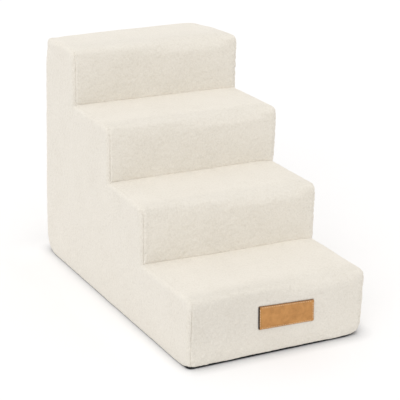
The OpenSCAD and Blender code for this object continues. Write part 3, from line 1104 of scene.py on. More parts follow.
CHAIN_U, CHAIN_X, CHAIN_ZZ, CHAIN_NX, CHAIN_NZ = chain_line(OPEN_TOP)
_e = np.minimum(CHAIN_U, CHAIN_U[-1] - CHAIN_U)
SLOT = OPEN * np.sqrt(np.clip(1 - np.clip(1 - _e / 8.0, 0, 1) ** 2, 0, 1))
SLOT_IN = np.stack((CHAIN_X - SLOT * CHAIN_NX, CHAIN_ZZ - SLOT * CHAIN_NZ), 1)
SLOT_OUT = np.stack((CHAIN_X + SLOT * CHAIN_NX, CHAIN_ZZ + SLOT * CHAIN_NZ), 1)
TOP_Z = 500.0 - BACK_R


def straight(a, b, step=1.9, head=True, tail=True):
    a, b = np.array(a, float), np.array(b, float)
    length = np.hypot(*(b - a))
    s = spaced(length, step, head, tail)
    return a + (b - a) * (s / length)[:, None]


def join_loop(parts):
    out = [parts[0]]
    for p in parts[1:]:
        out.append(p[1:] if np.allclose(out[-1][-1], p[0], atol=1e-6) else p)
    loop = np.concatenate(out)
    return loop[:-1] if np.allclose(loop[0], loop[-1], atol=1e-6) else loop


def fill(loop, rows, step):
    """Rows of points beside the loop, then an even net."""
    nxt, prv = np.roll(loop, -1, axis=0), np.roll(loop, 1, axis=0)
    t = nxt - prv
    t /= np.maximum(np.hypot(t[:, 0], t[:, 1]), 1e-9)[:, None]
    area = 0.5 * np.sum(loop[:, 0] * nxt[:, 1] - nxt[:, 0] * loop[:, 1])
    normal = np.stack((-t[:, 1], t[:, 0]), 1) * (1 if area > 0 else -1)
    closed = np.concatenate((loop, loop[:1]))
    pts = []
    for r in rows:
        sel = loop + normal * r
        ok = inside_loop(sel, loop) & (gap(sel, closed, 30.0, 0.3) > 0.93 * r)
        sel = sel[ok]
        # thin them out where they crowd
        if len(sel):
            d = np.hypot(*(np.diff(sel, axis=0)).T)
            keep = np.concatenate(([True], d > 0.35 * min(1.9, max(r, 0.5))))
            sel = sel[keep]
        pts.append(sel)
    lo, hi = loop.min(0), loop.max(0)
    gx, gy = np.meshgrid(
        np.arange(lo[0], hi[0], step), np.arange(lo[1], hi[1], step * 0.866), indexing="ij"
    )
    gx = gx + (np.arange(gx.shape[1]) % 2) * step / 2
    g = np.stack((gx.ravel(), gy.ravel()), 1)
    g = g[inside_loop(g, loop)]
    g = g[gap(g, closed, 30.0, 0.5) > rows[-1] + 0.6 * step]
    return np.concatenate((*pts, g))


def back_heights(P, tz, outer_panel):
    t, z = tz[:, 0], tz[:, 1]
    d_lat = SEAM - np.abs(t)
    d_top = TOP_Z - z
    plain = np.concatenate((np.array([[-ZIP_X, OPEN_TOP], [-ZIP_X, TOP_Z]]),))
    d_left = gap(tz, np.array([[-ZIP_X, OPEN_TOP], [-ZIP_X, TOP_Z]]))
    d_right = gap(tz, np.array([[ZIP_X, OPEN_TOP], [ZIP_X, TOP_Z]]))
    d_plain = np.minimum(d_left, d_right)
    d_slot = gap(tz, SLOT_OUT if outer_panel else SLOT_IN)
    h = swell(P)
    d = np.minimum(np.minimum(d_top, d_plain), d_slot)
    if outer_panel:
        d = np.minimum(d, d_lat)
        h -= groove(d_lat, SEAM_DEPTH, SEAM_WIDTH) * seam_share(4, d_top)
        h += pucker(z, d_lat, 70)
        # strips of cloth joined under the zip
        d_join = np.minimum(
            gap(tz, np.array([[-112.0, HEM_Z], [-112.0, ZIP_Z - OPEN]])),
            gap(tz, np.array([[112.0, HEM_Z], [112.0, ZIP_Z - OPEN]])),
        )
        h -= groove(d_join, 1.3, 2.6)
        d = np.minimum(d, d_join)
    keep_slot = smooth(d_slot, 0.0, 3.0)
    h -= groove(d_top, SEAM_DEPTH, SEAM_WIDTH) * (smooth(d_lat, 0.0, 3.0) if outer_panel else 1.0)
    h += pucker(t, d_top, 60) * smooth(d_lat, 0.0, 6.0)
    h -= groove(d_plain, 1.5, 3.0)
    h += pucker(z, d_plain, 80) * 0.7
    h += pile(P, d)
    # the cloth's folded edge beside the zip, and the row of stitches that holds the tape
    h -= groove(d_slot, 1.9, 2.4)
    h -= 0.85 * np.exp(-(((d_slot - 4.2) / 1.1) ** 2))
    h = h * (0.35 + 0.65 * smooth(d_slot, 0.0, 9.0))
    edge = smooth(d_slot, 0.6, 0.0) * (z < OPEN_TOP - 0.5)
    h = h * (1 - edge) - 1.95 * edge
    return h


def on_back(tz, h):
    delta, phi = lateral(tz[:, 0])
    x = np.where(
        np.abs(tz[:, 0]) <= FLAT, tz[:, 0], np.sign(tz[:, 0]) * (FLAT + (EDGE_R + h) * np.sin(phi))
    )
    return np.stack((x, D - (delta - h * np.cos(phi)), tz[:, 1]), 1)


def build_back(outer_panel):
    back_z = TOP_Z + (HEM_Z - TOP_Z) * (BACK_S / BACK_S[-1])
    if outer_panel:
        down = np.stack((np.full(len(back_z), -SEAM), back_z), 1)
        up = np.stack((np.full(len(back_z), SEAM), back_z[::-1]), 1)
        loop = join_loop(
            [
                down,
                straight((-SEAM, HEM_Z), (SEAM, HEM_Z)),
                up,
                straight((SEAM, TOP_Z), (ZIP_X, TOP_Z)),
                straight((ZIP_X, TOP_Z), (ZIP_X, OPEN_TOP)),
                SLOT_OUT[::-1],
                straight((-ZIP_X, OPEN_TOP), (-ZIP_X, TOP_Z)),
                straight((-ZIP_X, TOP_Z), (-SEAM, TOP_Z)),
            ]
        )
    else:
        loop = join_loop(
            [
                straight((-ZIP_X, TOP_Z), (-ZIP_X, OPEN_TOP)),
                SLOT_IN,
                straight((ZIP_X, OPEN_TOP), (ZIP_X, TOP_Z)),
                straight((ZIP_X, TOP_Z), (-ZIP_X, TOP_Z)),
            ]
        )
    pts = fill(loop, (0.25, 0.6, 1.1, 1.7, 2.4, 3.3, 4.2, 5.2, 6.6), 2.0)
    tz = np.concatenate((loop, pts))
    n = len(loop)
    P = on_back(tz, np.zeros(len(tz)))
    outer = on_back(tz, back_heights(P, tz, outer_panel))
    tri = triangles(tz, np.arange(n))
    coarse = fill(loop, (5.5, 8.5), 12.0)
    inz = np.concatenate((loop, coarse))
    d = gap(inz, SLOT_OUT if outer_panel else SLOT_IN)
    thin = (1 - smooth(d, 5.6, 8.4)) * smooth(OPEN_TOP + 6 - inz[:, 1], 0, 6)
    inner = on_back(inz, -(CLOTH + (2.22 - CLOTH) * thin))
    in_tri = triangles(inz, np.arange(n))
    v, f1, rim, f2 = shell(outer, tri, np.arange(n), inner, in_tri)
    name = "frame" if outer_panel else "flap"
    o = cloth_piece(f"plush_back_{name}", v, f1, rim, f2, PLUSH)
    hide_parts(f"cover_back_{name}")
    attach(o, "stairs")
    return o


# ------------------------------------------------------------------ threads, zip, base, patch


def tube(points, radius, sides=6, reference=(0.0, 1.0, 0.0), caps=True):
    """Points and faces of a tube round a line of points."""
    p = np.asarray(points, float)
    n = len(p)
    t = np.gradient(p, axis=0)
    t /= np.maximum(np.linalg.norm(t, axis=1), 1e-9)[:, None]
    ref = np.broadcast_to(np.asarray(reference, float), p.shape)
    a = np.cross(t, ref)
    a /= np.maximum(np.linalg.norm(a, axis=1), 1e-6)[:, None]
    b = np.cross(t, a)
    r = np.broadcast_to(radius, n)[:, None, None]
    w = np.arange(sides) * 2 * math.pi / sides
    ring = p[:, None] + r * (a[:, None] * np.cos(w)[None, :, None] + b[:, None] * np.sin(w)[None, :, None])
    v = ring.reshape(-1, 3)
    idx = np.arange(n * sides).reshape(n, sides)
    f = np.stack(
        (idx[:-1], np.roll(idx, -1, 1)[:-1], np.roll(idx, -1, 1)[1:], idx[1:]), -1
    ).reshape(-1, 4)
    faces = f.tolist()
    if caps:
        faces.append(idx[0][::-1].tolist())
        faces.append(idx[-1].tolist())
    return v, faces


def gather(parts):
    verts, faces, n = [], [], 0
    for v, f in parts:
        verts.append(v)
        faces += [[q + n for q in face] for face in f]
        n += len(v)
    return np.concatenate(verts), faces


def stitch(a, b, up, radius, sink=0.25, lift=0.35):
    """One stitch: a short thread that dips at both ends."""
    a, b, up = (np.asarray(q, float) for q in (a, b, up))
    k = np.array((0.0, 0.12, 0.3, 0.5, 0.7, 0.88, 1.0))
    line = a + (b - a) * k[:, None] + up * (lift * np.sin(np.pi * k)[:, None] - sink * (np.abs(2 * k - 1) ** 3)[:, None])
    r = radius * np.array((0.45, 0.85, 1.0, 1.0, 1.0, 0.85, 0.45))
    return tube(line, r, 7, reference=up)


def build_topstitch():
    """Stitches beside the zip, one row in each edge of the cloth."""
    parts = []
    for sign, name in ((-1, "flap"), (1, "frame")):
        off = OPEN + 4.2
        leg = ZIP_TOP - 4 - ZIP_Z - ZIP_R
        total = 2 * leg + ZIP_R * math.pi + 2 * (ZIP_X - ZIP_R)
        n = round(total / 4.6)
        u = (np.arange(n) + 0.5) * total / n
        for w in u:
            q = np.array((w - 1.55, w + 1.55))
            x, z, nx, nz = chain_at(q, ZIP_TOP - 4)
            pts = np.stack((x + sign * off * nx, z + sign * off * nz), 1)
            base = on_back(pts, np.full(2, -0.75) + 0.4 * swell(on_back(pts, np.zeros(2))))
            parts.append(stitch(base[0], base[1], (0, 1, 0), 0.36, sink=0.3, lift=0.3))
    v, f = gather(parts)
    o = add_mesh("zip_topstitch", warp(v), f, CREAM_THREAD)
    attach(o, "stairs")
    return o


def band(inner, outer, top, profile, step, wave=0.0):
    """A closed strip along the chain. profile is the outline of its section, as (k, depth): k is
    0 at the inner distance and 1 at the outer one, depth is behind the back's face."""
    u, x, z, nx, nz = chain_line(top, step, ends=False)
    m = len(profile)
    pr = np.array(profile, float)
    off = inner + (outer - inner) * pr[:, 0]
    rows = []
    for j in range(len(u)):
        rows.append(np.stack((x[j] + off * nx[j], D - pr[:, 1], z[j] + off * nz[j]), 1))
    v = np.array(rows)
    if wave:
        v[:, :, 1] += wave * np.sin(u / 3.1)[:, None] * (1 - np.abs(2 * pr[:, 0] - 1))
    idx = np.arange(len(u) * m).reshape(len(u), m)
    f = np.stack((idx[:-1], np.roll(idx, -1, 1)[:-1], np.roll(idx, -1, 1)[1:], idx[1:]), -1).reshape(-1, 4)
    faces = f.tolist() + [idx[0][::-1].tolist(), idx[-1].tolist()]
    v = v.reshape(-1, 3)
    if volume(v, faces) < 0:
        faces = [q[::-1] for q in faces]
    return v, faces


def build_tape(name, near, far):
    """Woven tape with a beaded edge where the coil is sewn on."""
    pr = [
        (0.00, 2.50), (0.03, 2.34), (0.09, 2.31), (0.14, 2.38), (0.19, 2.33), (0.25, 2.36),
        (0.33, 2.32), (0.42, 2.36), (0.52, 2.32), (0.62, 2.36), (0.72, 2.32), (0.82, 2.35),
        (0.92, 2.33), (0.98, 2.40), (1.00, 2.62), (0.98, 2.90), (0.75, 2.97), (0.50, 2.97),
        (0.25, 2.97), (0.03, 2.94), (0.00, 2.80),
    ]
    v, f = band(near, far, OPEN_TOP - 0.6, pr, 1.6, wave=0.02)
    o = add_mesh(f"{name}_woven", warp(v), f, TAPE)
    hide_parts(name)
    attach(o, "stairs")
    return o


def build_coil(name, side):
    """The monofilament coil along one edge of the tape."""
    pitch, per = 1.45, 9
    leg = ZIP_TOP - 0.5 - ZIP_Z - ZIP_R
    total = 2 * leg + ZIP_R * math.pi + 2 * (ZIP_X - ZIP_R)
    turns = int(total / pitch)
    a = np.arange(turns * per + 1) * 2 * math.pi / per
    u = np.clip(0.4 + (a / (2 * math.pi)) * (total - 0.8) / turns + (0.5 * pitch if side > 0 else 0.0), 0.0, total)
    x, z, nx, nz = chain_at(u, ZIP_TOP - 0.5)
    wide = np.cos(a)
    off = side * (1.72 - 0.95 * np.sign(wide) * np.abs(wide) ** 0.75)
    depth = 2.05 - 0.80 * np.sin(a)
    line = np.stack((x + off * nx, D - depth, z + off * nz), 1)
    r = 0.29 + 0.05 * np.clip(wide, 0, 1)
    v, f = tube(line, r, 5, reference=(0.31, 0.2, 0.93))
    o = add_mesh(f"{name}_filament", warp(v), f, NYLON)
    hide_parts(name)
    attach(o, "stairs")
    return o


def build_base():
    """Black fabric with moulded dots under it."""
    hx, y0, y1 = 197.0, 1.2, D - 3.0
    cloth_low, cloth_high = 0.5, 3.0
    corner = 15.0  # but more on the right in front, and less on the left there
    parts = []
    # the fabric, with turned edges
    nx, ny = 90, 156
    ex = np.concatenate(([0, 0.25, 0.8], np.linspace(2.2, 2 * hx - 2.2, nx), [2 * hx - 0.8, 2 * hx - 0.25, 2 * hx])) - hx
    ey = np.concatenate(([0, 0.25, 0.8], np.linspace(2.2, y1 - y0 - 2.2, ny), [y1 - y0 - 0.8, y1 - y0 - 0.25, y1 - y0])) + y0
    X, Y = np.meshgrid(ex, ey, indexing="ij")
    d = np.minimum(np.minimum(X + hx, hx - X), np.minimum(Y - y0, y1 - Y))
    rnd = 0.9 * (1 - np.sqrt(np.clip(1 - np.clip(1 - d / 0.9, 0, 1) ** 2, 0, 1)))
    pq = np.stack((X.ravel(), Y.ravel(), np.zeros(X.size)), 1)
    bow = (0.16 * noise(pq, 30.0, 91) + 0.12 * noise(pq, 9.0, 92)).reshape(X.shape)
    # a bound edge in front, up against the hem
    rim = 1.15 * np.exp(-(((Y - y0) / 2.4) ** 2))
    topz = cloth_high + rim - rnd
    botz = cloth_low + rnd + np.clip(bow, -0.1, 0.3) * smooth(d, 0, 4)
    # round corners: the squares at the corners are drawn in to quarter discs
    my = (y0 + y1) / 2
    turn = np.where(Y < my, np.where(X > 0, 38.0, 11.0), corner)
    cu = np.clip(np.abs(X) - (hx - turn), 0, None) / turn
    cv = np.clip(np.abs(Y - my) - ((y1 - y0) / 2 - turn), 0, None) / turn
    keep = np.maximum(cu, cv) / np.maximum(np.hypot(cu, cv), 1e-9)
    both = (cu > 0) & (cv > 0)
    X = np.where(both, np.sign(X) * (hx - turn + turn * cu * keep), X)
    Y = np.where(both, my + np.sign(Y - my) * ((y1 - y0) / 2 - turn + turn * cv * keep), Y)
    X = X + 3.5 * smooth(-X, 150.0, 197.0) * smooth(Y, 30.0, 90.0)  # sewn in further on the left
    inward, forward = tuck(X, Y, 2.0)
    X, Y = X + inward, Y + forward
    n = X.size
    idx = np.arange(n).reshape(X.shape)
    q = np.stack((idx[:-1, :-1], idx[1:, :-1], idx[1:, 1:], idx[:-1, 1:]), -1).reshape(-1, 4)
    loop = np.concatenate((idx[0, :-1], idx[:-1, -1], idx[-1, :0:-1], idx[:0:-1, 0]))
    top = np.stack((X.ravel(), Y.ravel(), topz.ravel()), 1)
    bot = np.stack((X.ravel(), Y.ravel(), botz.ravel()), 1)
    faces = q.tolist() + (q[:, ::-1] + n).tolist()
    k = len(loop)
    faces += [
        [int(loop[(j + 1) % k]), int(loop[j]), int(n + loop[j]), int(n + loop[(j + 1) % k])]
        for j in range(k)
    ]
    v = np.concatenate((top, bot))
    if volume(v, faces) < 0:
        faces = [f[::-1] for f in faces]
    o = add_mesh("non_slip_base", v, faces, BASE)
    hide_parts("cover_base")
    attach(o, "stairs")
    # the dots
    w = np.arange(8) * math.pi / 4
    ring = np.stack((np.cos(w), np.sin(w)), 1)
    dome = [
        (1.15, 0.62), (1.10, 0.30), (0.85, 0.08), (0.45, 0.0),
    ]
    one, faces = [], []
    for r, z in dome:
        one.append(np.column_stack((ring * r, np.full(8, z))))
    one = np.concatenate(one)
    for a in range(len(dome) - 1):
        for j in range(8):
            faces.append([a * 8 + j, (a + 1) * 8 + j, (a + 1) * 8 + (j + 1) % 8, a * 8 + (j + 1) % 8])
    faces.append([24 + j for j in range(8)][::-1])
    faces.append([j for j in range(8)])
    if volume(one, faces) < 0:
        faces = [f[::-1] for f in faces]
    spots = []
    pitch = 9.0
    row = 0
    y = y0 + 7
    while y < y1 - 6:
        x = -hx + 7 + (pitch / 2 if row % 2 else 0)
        while x < hx - 6:
            r = 38.0 if x > 0 and y < my else corner
            cu, cv = abs(x) - (hx - r), abs(y - my) - ((y1 - y0) / 2 - r)
            if cu < 0 or cv < 0 or math.hypot(cu, cv) < r - 5:
                spots.append((x, y, 0.0))
            x += pitch
        y += pitch * 0.866
        row += 1
    spots = np.array(spots)
    inward, forward = tuck(spots[:, 0], spots[:, 1], 2.0)
    spots += np.stack((inward, forward, 0 * inward), 1)
    v = (one[None] + spots[:, None]).reshape(-1, 3)
    f = [[q + len(one) * j for q in face] for j in range(len(spots)) for face in faces]
    dots = add_mesh("non_slip_dots", v, f, DOTS)
    dots.parent = o
    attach(dots, "stairs")
    return o


def patch_frame(u, v, depth):
    """A point of the patch: u and v in its plane, depth out of the riser."""
    c, s = math.cos(PATCH_TILT), math.sin(PATCH_TILT)
    left = 0.5 - u / PATCH_W
    v = v * (1 + PATCH_FLARE * left) + PATCH_RISE * left
    u = u - PATCH_LEAN * v
    x = PATCH_X + u * c - v * s
    z = PATCH_Z + u * s + v * c
    plain = np.stack((x, np.zeros_like(x), z), 1)
    y = -depth - swell(plain)
    return np.stack((x, y, z), 1)


def build_patch():
    """Leather patch, bare, with a painted edge and a black band of painted shadow on its face at the left end."""
    hw, hh, r = PATCH_W / 2, PATCH_H / 2, 2.2
    # outline, from the middle of the bottom round
    arcs = []
    for cx, cz, a0 in ((hw - r, -hh + r, -90), (hw - r, hh - r, 0), (-hw + r, hh - r, 90), (-hw + r, -hh + r, 180)):
        t = np.radians(a0 + np.linspace(0, 90, 7))
        arcs.append(np.stack((cx + r * np.cos(t), cz + r * np.sin(t)), 1))
    pts = []
    for j in range(4):
        a, b = arcs[j - 1][-1], arcs[j][0]
        n = max(2, round(np.hypot(*(b - a)) / 1.0))
        pts.append(a + (b - a) * (np.arange(1, n) / n)[:, None])
        pts.append(arcs[j])
    loop = np.concatenate(pts)
    inner = fill(loop, (0.25, 0.6, 1.0, 1.5, 2.1), 1.0)
    uv = np.concatenate((loop, inner))
    n = len(loop)
    d = gap(uv, np.concatenate((loop, loop[:1])), 14.0, 0.2)
    d[:n] = 0.0
    round_off = 0.75 * (1 - np.sqrt(np.clip(1 - np.clip(1 - d / 0.8, 0, 1) ** 2, 0, 1)))
    P = np.stack((uv[:, 0], np.zeros(len(uv)), uv[:, 1]), 1)
    # the seam presses the leather down; the middle stands a little higher
    press = 0.42 * np.exp(-(((d - 2.4) / 0.9) ** 2))
    pillow = 0.25 * smooth(d, 2.0, 9.0)
    grain = 0.12 * (curls(P, 2.3, 21) - 0.5) + 0.16 * noise(P, 5.5, 23) + 0.12 * noise(P, 12.0, 22)
    depth = PATCH_T - 0.28 - round_off - press + pillow + grain * smooth(d, 0.2, 1.2)
    depth = np.minimum(depth, PATCH_T + 0.05)
    front = patch_frame(uv[:, 0], uv[:, 1], depth)
    tri = triangles(uv, np.arange(n))
    # side wall: two rings bulging a little
    mid = patch_frame(loop[:, 0] * 1.001, loop[:, 1] * 1.001, np.full(n, 1.1))
    back_uv = np.concatenate((loop, fill(loop, (3.0,), 8.0)))
    back = patch_frame(back_uv[:, 0], back_uv[:, 1], np.full(len(back_uv), -0.7))
    back_tri = triangles(back_uv, np.arange(n))
    nf = len(front)
    verts = np.concatenate((front, mid, back))
    f_front = tri.tolist()
    walls = []
    for j in range(n):
        k = (j + 1) % n
        walls.append([j, nf + j, nf + k, k])
        walls.append([nf + j, nf + n + j, nf + n + k, nf + k])
    f_back = (back_tri + nf + n).tolist()
    verts = warp(verts)
    edges = set()
    for f in walls:
        for a, b in zip(f, f[1:] + f[:1]):
            edges.add((a, b))
    def agree(faces):
        same = sum((a, b) in edges for f in faces for a, b in zip(f, f[1:] + f[:1]))
        other = sum((b, a) in edges for f in faces for a, b in zip(f, f[1:] + f[:1]))
        return [f[::-1] for f in faces] if same > other else faces
    f_front, f_back = agree(f_front), agree(f_back)
    faces = f_front + walls + f_back
    if volume(verts, faces) < 0:
        faces = [f[::-1] for f in faces]
    o = add_mesh("leather_patch", verts, faces, LEATHER)
    o.data.materials.append(EDGE)
    o.data.materials.append(EDGE_BROWN)
    # the left end has black edge paint on its wall, and a black band on its face that is partly edge paint and partly
    # painted shadow; the other edges are only cut
    kind = np.full(len(faces), 2, np.int32)
    kind[: len(f_front)] = 0
    left = -hw + 0.4
    flat_u = np.concatenate((uv[:, 0], loop[:, 0], back_uv[:, 0]))
    for j, f in enumerate(faces):
        c = sum(flat_u[q] for q in f) / len(f)
        if j < len(f_front):
            e = min(d[q] for q in f)
            # the face's black band along the left end: partly edge paint, partly painted shadow
            if c < -hw + 2.0 and e < 2.0:
                kind[j] = 1
            elif e < 0.3:
                kind[j] = 2
        elif c < left:
            kind[j] = 1
    o.data.polygons.foreach_set("material_index", kind)
    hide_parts("label_patch")
    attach(o, "stairs")

    # thread round it
    parts = []
    step_l, st_l = 5.2, 3.4
    up = np.array((0.0, -1.0, 0.0))
    for length, fixed, flip in ((PATCH_W, hh - 2.4, False), (PATCH_H, hw - 2.4, True)):
        n = int((length - 6.4) // step_l)
        for s in (-1, 1):
            for k in range(n):
                c = (k - (n - 1) / 2) * step_l
                ends = np.array(((c - st_l / 2, s * fixed), (c + st_l / 2, s * fixed)))
                if flip:
                    ends = ends[:, ::-1]
                p = patch_frame(ends[:, 0], ends[:, 1], np.full(2, PATCH_T - 0.42))
                parts.append(stitch(p[0], p[1], up, 0.62, sink=0.35, lift=0.42))
    v, f = gather(parts)
    t = add_mesh("patch_thread", warp(v), f, THREAD)
    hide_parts("label_stitching")
    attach(t, "stairs")
    return o


def build_foam(i):
    """One glued slab, rounded like its step, with cut faces that are slightly open-celled."""
    inset = 5.0
    x1 = W / 2 - inset
    z0 = 3.0 if i == 0 else ZT[i - 1] - inset
    z1 = ZT[i] - inset
    y0, y1 = YF[i] + inset, D - inset
    # outline of the slab, seen from the side
    t = np.linspace(0, math.pi / 2, 12)
    out = []
    a, b = NOSE_Y - inset, NOSE_Z - inset
    front_top = np.stack((y0 + a - a * np.cos(t), z1 - b + b * np.sin(t)), 1)
    if i == 3:
        rb = BACK_R - inset
        back_top = np.stack((y1 - rb + rb * np.sin(t), z1 - rb + rb * np.cos(t)), 1)
    else:
        back_top = np.array([[y1, z1]])
    corners = [np.array([[y0, z0]]), front_top, back_top, np.array([[y1, z0]])]
    raw = np.concatenate(corners)
    pts = []
    for p, q in zip(raw, np.roll(raw, -1, axis=0)):
        n = max(1, round(np.hypot(*(q - p)) / 6.0))
        pts.append(p + (q - p) * (np.arange(n) / n)[:, None])
    loop = np.concatenate(pts)
    centre = loop.mean(0)
    xs = np.concatenate(([0, 0.8, 2.2], np.linspace(6, 2 * x1 - 6, 60), [2 * x1 - 2.2, 2 * x1 - 0.8, 2 * x1])) - x1
    d = np.minimum(xs + x1, x1 - xs)
    pull = 2.0 * (1 - np.sqrt(np.clip(1 - np.clip(1 - d / 2.2, 0, 1) ** 2, 0, 1)))
    # inward direction of each outline point
    nxt, prv = np.roll(loop, -1, axis=0), np.roll(loop, 1, axis=0)
    tg = nxt - prv
    tg /= np.maximum(np.hypot(tg[:, 0], tg[:, 1]), 1e-9)[:, None]
    area = 0.5 * np.sum(loop[:, 0] * nxt[:, 1] - nxt[:, 0] * loop[:, 1])
    nin = np.stack((-tg[:, 1], tg[:, 0]), 1) * (1 if area > 0 else -1)
    m = len(loop)
    rows = []
    for xx, pp in zip(xs, pull):
        ring = loop + nin * pp
        rows.append(np.column_stack((np.full(m, xx), ring)))
    v = np.concatenate(rows)
    cut = 0.25 * np.clip(noise(v, 13.0, 61 + i), -1, 0.2) + 0.12 * noise(v, 5.0, 66 + i)
    # roughness of the cut faces only goes inwards
    k = np.tile(nin, (len(xs), 1))
    v[:, 1] -= np.minimum(cut, 0) * k[:, 0] * -1
    v[:, 2] -= np.minimum(cut, 0) * k[:, 1] * -1
    idx = np.arange(len(xs) * m).reshape(len(xs), m)
    f = np.stack((idx[:-1], np.roll(idx, -1, 1)[:-1], np.roll(idx, -1, 1)[1:], idx[1:]), -1).reshape(-1, 4)
    faces = f.tolist()
    # end faces
    cap_loop = rows[0][:, 1:]
    fillin = fill(cap_loop, (3.0,), 7.0)
    cap = np.concatenate((cap_loop, fillin))
    tri = triangles(cap, np.arange(m))
    extra = len(v)
    ends = []
    for sgn, base in ((-1, 0), (1, (len(xs) - 1) * m)):
        add = np.column_stack((np.full(len(fillin), sgn * x1), fillin))
        add[:, 0] -= sgn * 0.3 * np.abs(noise(add, 11.0, 71 + i))
        start = extra + (0 if sgn < 0 else len(fillin))
        number = np.concatenate((base + np.arange(m), start + np.arange(len(fillin))))
        tr = number[tri]
        ends.append((add, tr))
    v = np.concatenate((v, ends[0][0], ends[1][0]))
    side_edges = set()
    for q in faces:
        for a, b in zip(q, q[1:] + q[:1]):
            side_edges.add((a, b))
    for _, tr in ends:
        fs = tr.tolist()
        same = sum((a, b) in side_edges for q in fs for a, b in zip(q, q[1:] + q[:1]))
        other = sum((b, a) in side_edges for q in fs for a, b in zip(q, q[1:] + q[:1]))
        faces += [q[::-1] for q in fs] if same > other else fs
    if volume(v, faces) < 0:
        faces = [q[::-1] for q in faces]
    o = add_mesh(f"foam_block_{i + 1}", warp_foam(v), faces, FOAM)
    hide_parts(f"foam_slab_{i + 1}")
    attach(o, "stairs")
    return o


def warp_foam(P):
    """The foam gives where its cover does, and stays flat on the base and between the slabs."""
    move = warp(P) - P
    move[:, 2] *= smooth(P[:, 2], 4.0, 12.0)
    return P + move


# ------------------------------------------------------------------ build

for i in range(4):
    build_step(i)
build_side(-1)
build_side(1)
build_back(True)
build_back(False)
build_topstitch()
build_tape("zip_tape_inner", -3.05, -12.0)
build_tape("zip_tape_outer", 3.05, 12.0)
build_coil("zip_coil_inner", -1)
build_coil("zip_coil_outer", 1)
build_base()
build_patch()
for i in range(4):
    build_foam(i)

for name in ("zip_top_stops", "zip_bottom_stop", "zip_slider", "zip_pull_tab"):
    o = frame["nodes"][name]
    o = o if isinstance(o, bpy.types.Object) else bpy.data.objects[o if isinstance(o, str) else name]
    o.data.materials.clear()
    o.data.materials.append(METAL)


# ------------------------------------------------------------------ floor, light, camera


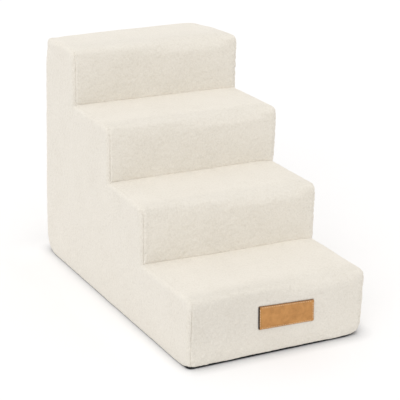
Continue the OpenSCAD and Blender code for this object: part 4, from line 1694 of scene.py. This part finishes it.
def build_stage():
    me = bpy.data.meshes.new("floor")
    s = 9.0
    me.from_pydata([(-s, -s, 0), (s, -s, 0), (s, s, 0), (-s, s, 0)], [], [(0, 1, 2, 3)])
    floor = bpy.data.objects.new("floor", me)
    bpy.context.scene.collection.objects.link(floor)
    floor.location = (0, 0, -0.0002)
    m, nt, b = principled("studio_floor")
    # painted contact shadow: the white sweep's colour is darkened by ambient occlusion near the object, none on the
    # floor left of it
    ao = nt.nodes.new("ShaderNodeAmbientOcclusion")
    ao.samples = 8
    ao.inputs["Distance"].default_value = 0.035
    where = nt.nodes.new("ShaderNodeNewGeometry")
    split = nt.nodes.new("ShaderNodeSeparateXYZ")
    nt.links.new(where.outputs["Position"], split.inputs[0])
    # strength of the painted shadow: none left of the object, full from its left side inwards
    side = nt.nodes.new("ShaderNodeMapRange")
    side.inputs["From Min"].default_value = -0.23
    side.inputs["From Max"].default_value = -0.19
    side.inputs["To Min"].default_value = 0.0
    side.inputs["To Max"].default_value = 0.5
    nt.links.new(split.outputs[0], side.inputs["Value"])
    painted_contact_shadow = nt.nodes.new("ShaderNodeMath")
    painted_contact_shadow.operation = "POWER"
    nt.links.new(ao.outputs["AO"], painted_contact_shadow.inputs[0])
    nt.links.new(side.outputs[0], painted_contact_shadow.inputs[1])
    painted_contact_shadow = painted_contact_shadow.outputs[0]
    nt.links.new(ramp(nt, painted_contact_shadow, [(0.0, (0.0, 0.0, 0.0)), (1.0, (0.90, 0.897, 0.905))]), b.inputs["Base Color"])
    b.inputs["Roughness"].default_value = 1.0
    b.inputs["Specular IOR Level"].default_value = 0.0
    # painted light: the sweep's material gives off a little light of its own along the left side
    painted_glow = between(nt, split.outputs[0], -0.32, -0.205, 0.068)
    painted_glow = math_node(nt, "MULTIPLY", painted_glow, between(nt, split.outputs[1], -0.40, -0.30))
    painted_glow = math_node(nt, "MULTIPLY", painted_glow, between(nt, split.outputs[1], 0.42, 0.30))
    painted_glow = math_node(nt, "MULTIPLY", painted_glow, between(nt, split.outputs[0], 0.0, -0.1))
    b.inputs["Emission Color"].default_value = (1.0, 1.0, 1.0, 1.0)
    nt.links.new(painted_glow, b.inputs["Emission Strength"])
    # seen from below it is clear, so that views of the underside work
    g = nt.nodes.new("ShaderNodeNewGeometry")
    clear = nt.nodes.new("ShaderNodeBsdfTransparent")
    mix = nt.nodes.new("ShaderNodeMixShader")
    # and it is open right under the object, which would be in the dark there
    under = []
    sizes = [math_node(nt, "ABSOLUTE", split.outputs[axis]) for axis in (0, 1)]
    for size, most in (
        (sizes[0], 0.189), (sizes[1], 0.339), (math_node(nt, "ADD", *sizes), 0.497)
    ):
        under.append(math_node(nt, "LESS_THAN", size, most))
    under = math_node(nt, "MINIMUM", math_node(nt, "MINIMUM", *under[:2]), under[2])
    nt.links.new(math_node(nt, "MAXIMUM", g.outputs["Backfacing"], under), mix.inputs[0])
    nt.links.new(b.outputs[0], mix.inputs[1])
    nt.links.new(clear.outputs[0], mix.inputs[2])
    out = next(n for n in nt.nodes if n.type == "OUTPUT_MATERIAL")
    nt.links.new(mix.outputs[0], out.inputs[0])
    me.materials.append(m)

    world = bpy.data.worlds.new("studio")
    bpy.context.scene.world = world
    world.use_nodes = True
    bg = world.node_tree.nodes["Background"]
    bg.inputs[0].default_value = (1.0, 0.995, 0.985, 1)
    bg.inputs[1].default_value = 0.86

    for name, energy, colour, toward in (
        ("key", 0.70, (1.0, 0.985, 0.96), (-0.04, -0.02, 1.0)),
        ("fill", 0.53, (0.975, 0.985, 1.0), (-0.64, -0.64, 0.43)),
    ):
        light = bpy.data.lights.new(name, "SUN")
        light.energy = energy
        light.angle = math.radians(40)
        light.color = colour
        sun = bpy.data.objects.new(name, light)
        bpy.context.scene.collection.objects.link(sun)
        sun.rotation_mode = "QUATERNION"
        sun.rotation_quaternion = Vector(toward).normalized().to_track_quat("Z", "Y")

    scene = bpy.context.scene
    scene.view_settings.view_transform = "Standard"
    scene.view_settings.look = "None"
    scene.view_settings.exposure = 0.0
    scene.view_settings.gamma = 1.0


def build_camera():
    az, el, roll = math.radians(-28.60), math.radians(19.90), math.radians(1.62)
    dist, focal = 3.134, 1479.7
    target = Vector((0.0002, 0.335 + Y_SHIFT / 1000, 0.2081))
    back = Vector((math.sin(az) * math.cos(el), -math.cos(az) * math.cos(el), math.sin(el)))
    right = (-back).cross(Vector((0, 0, 1))).normalized()
    up = right.cross(-back).normalized()
    r = right * math.cos(roll) + up * math.sin(roll)
    u = up * math.cos(roll) - right * math.sin(roll)
    cam = bpy.data.cameras.new("camera")
    cam.sensor_width = 36.0
    cam.lens = focal / 400.0 * 36.0
    cam.clip_start, cam.clip_end = 0.05, 60.0
    o = bpy.data.objects.new("camera", cam)
    bpy.context.scene.collection.objects.link(o)
    m = Matrix((r, u, back)).transposed().to_4x4()
    m.translation = target + back * dist
    o.matrix_world = m
    bpy.context.scene.camera = o


build_stage()
build_camera()
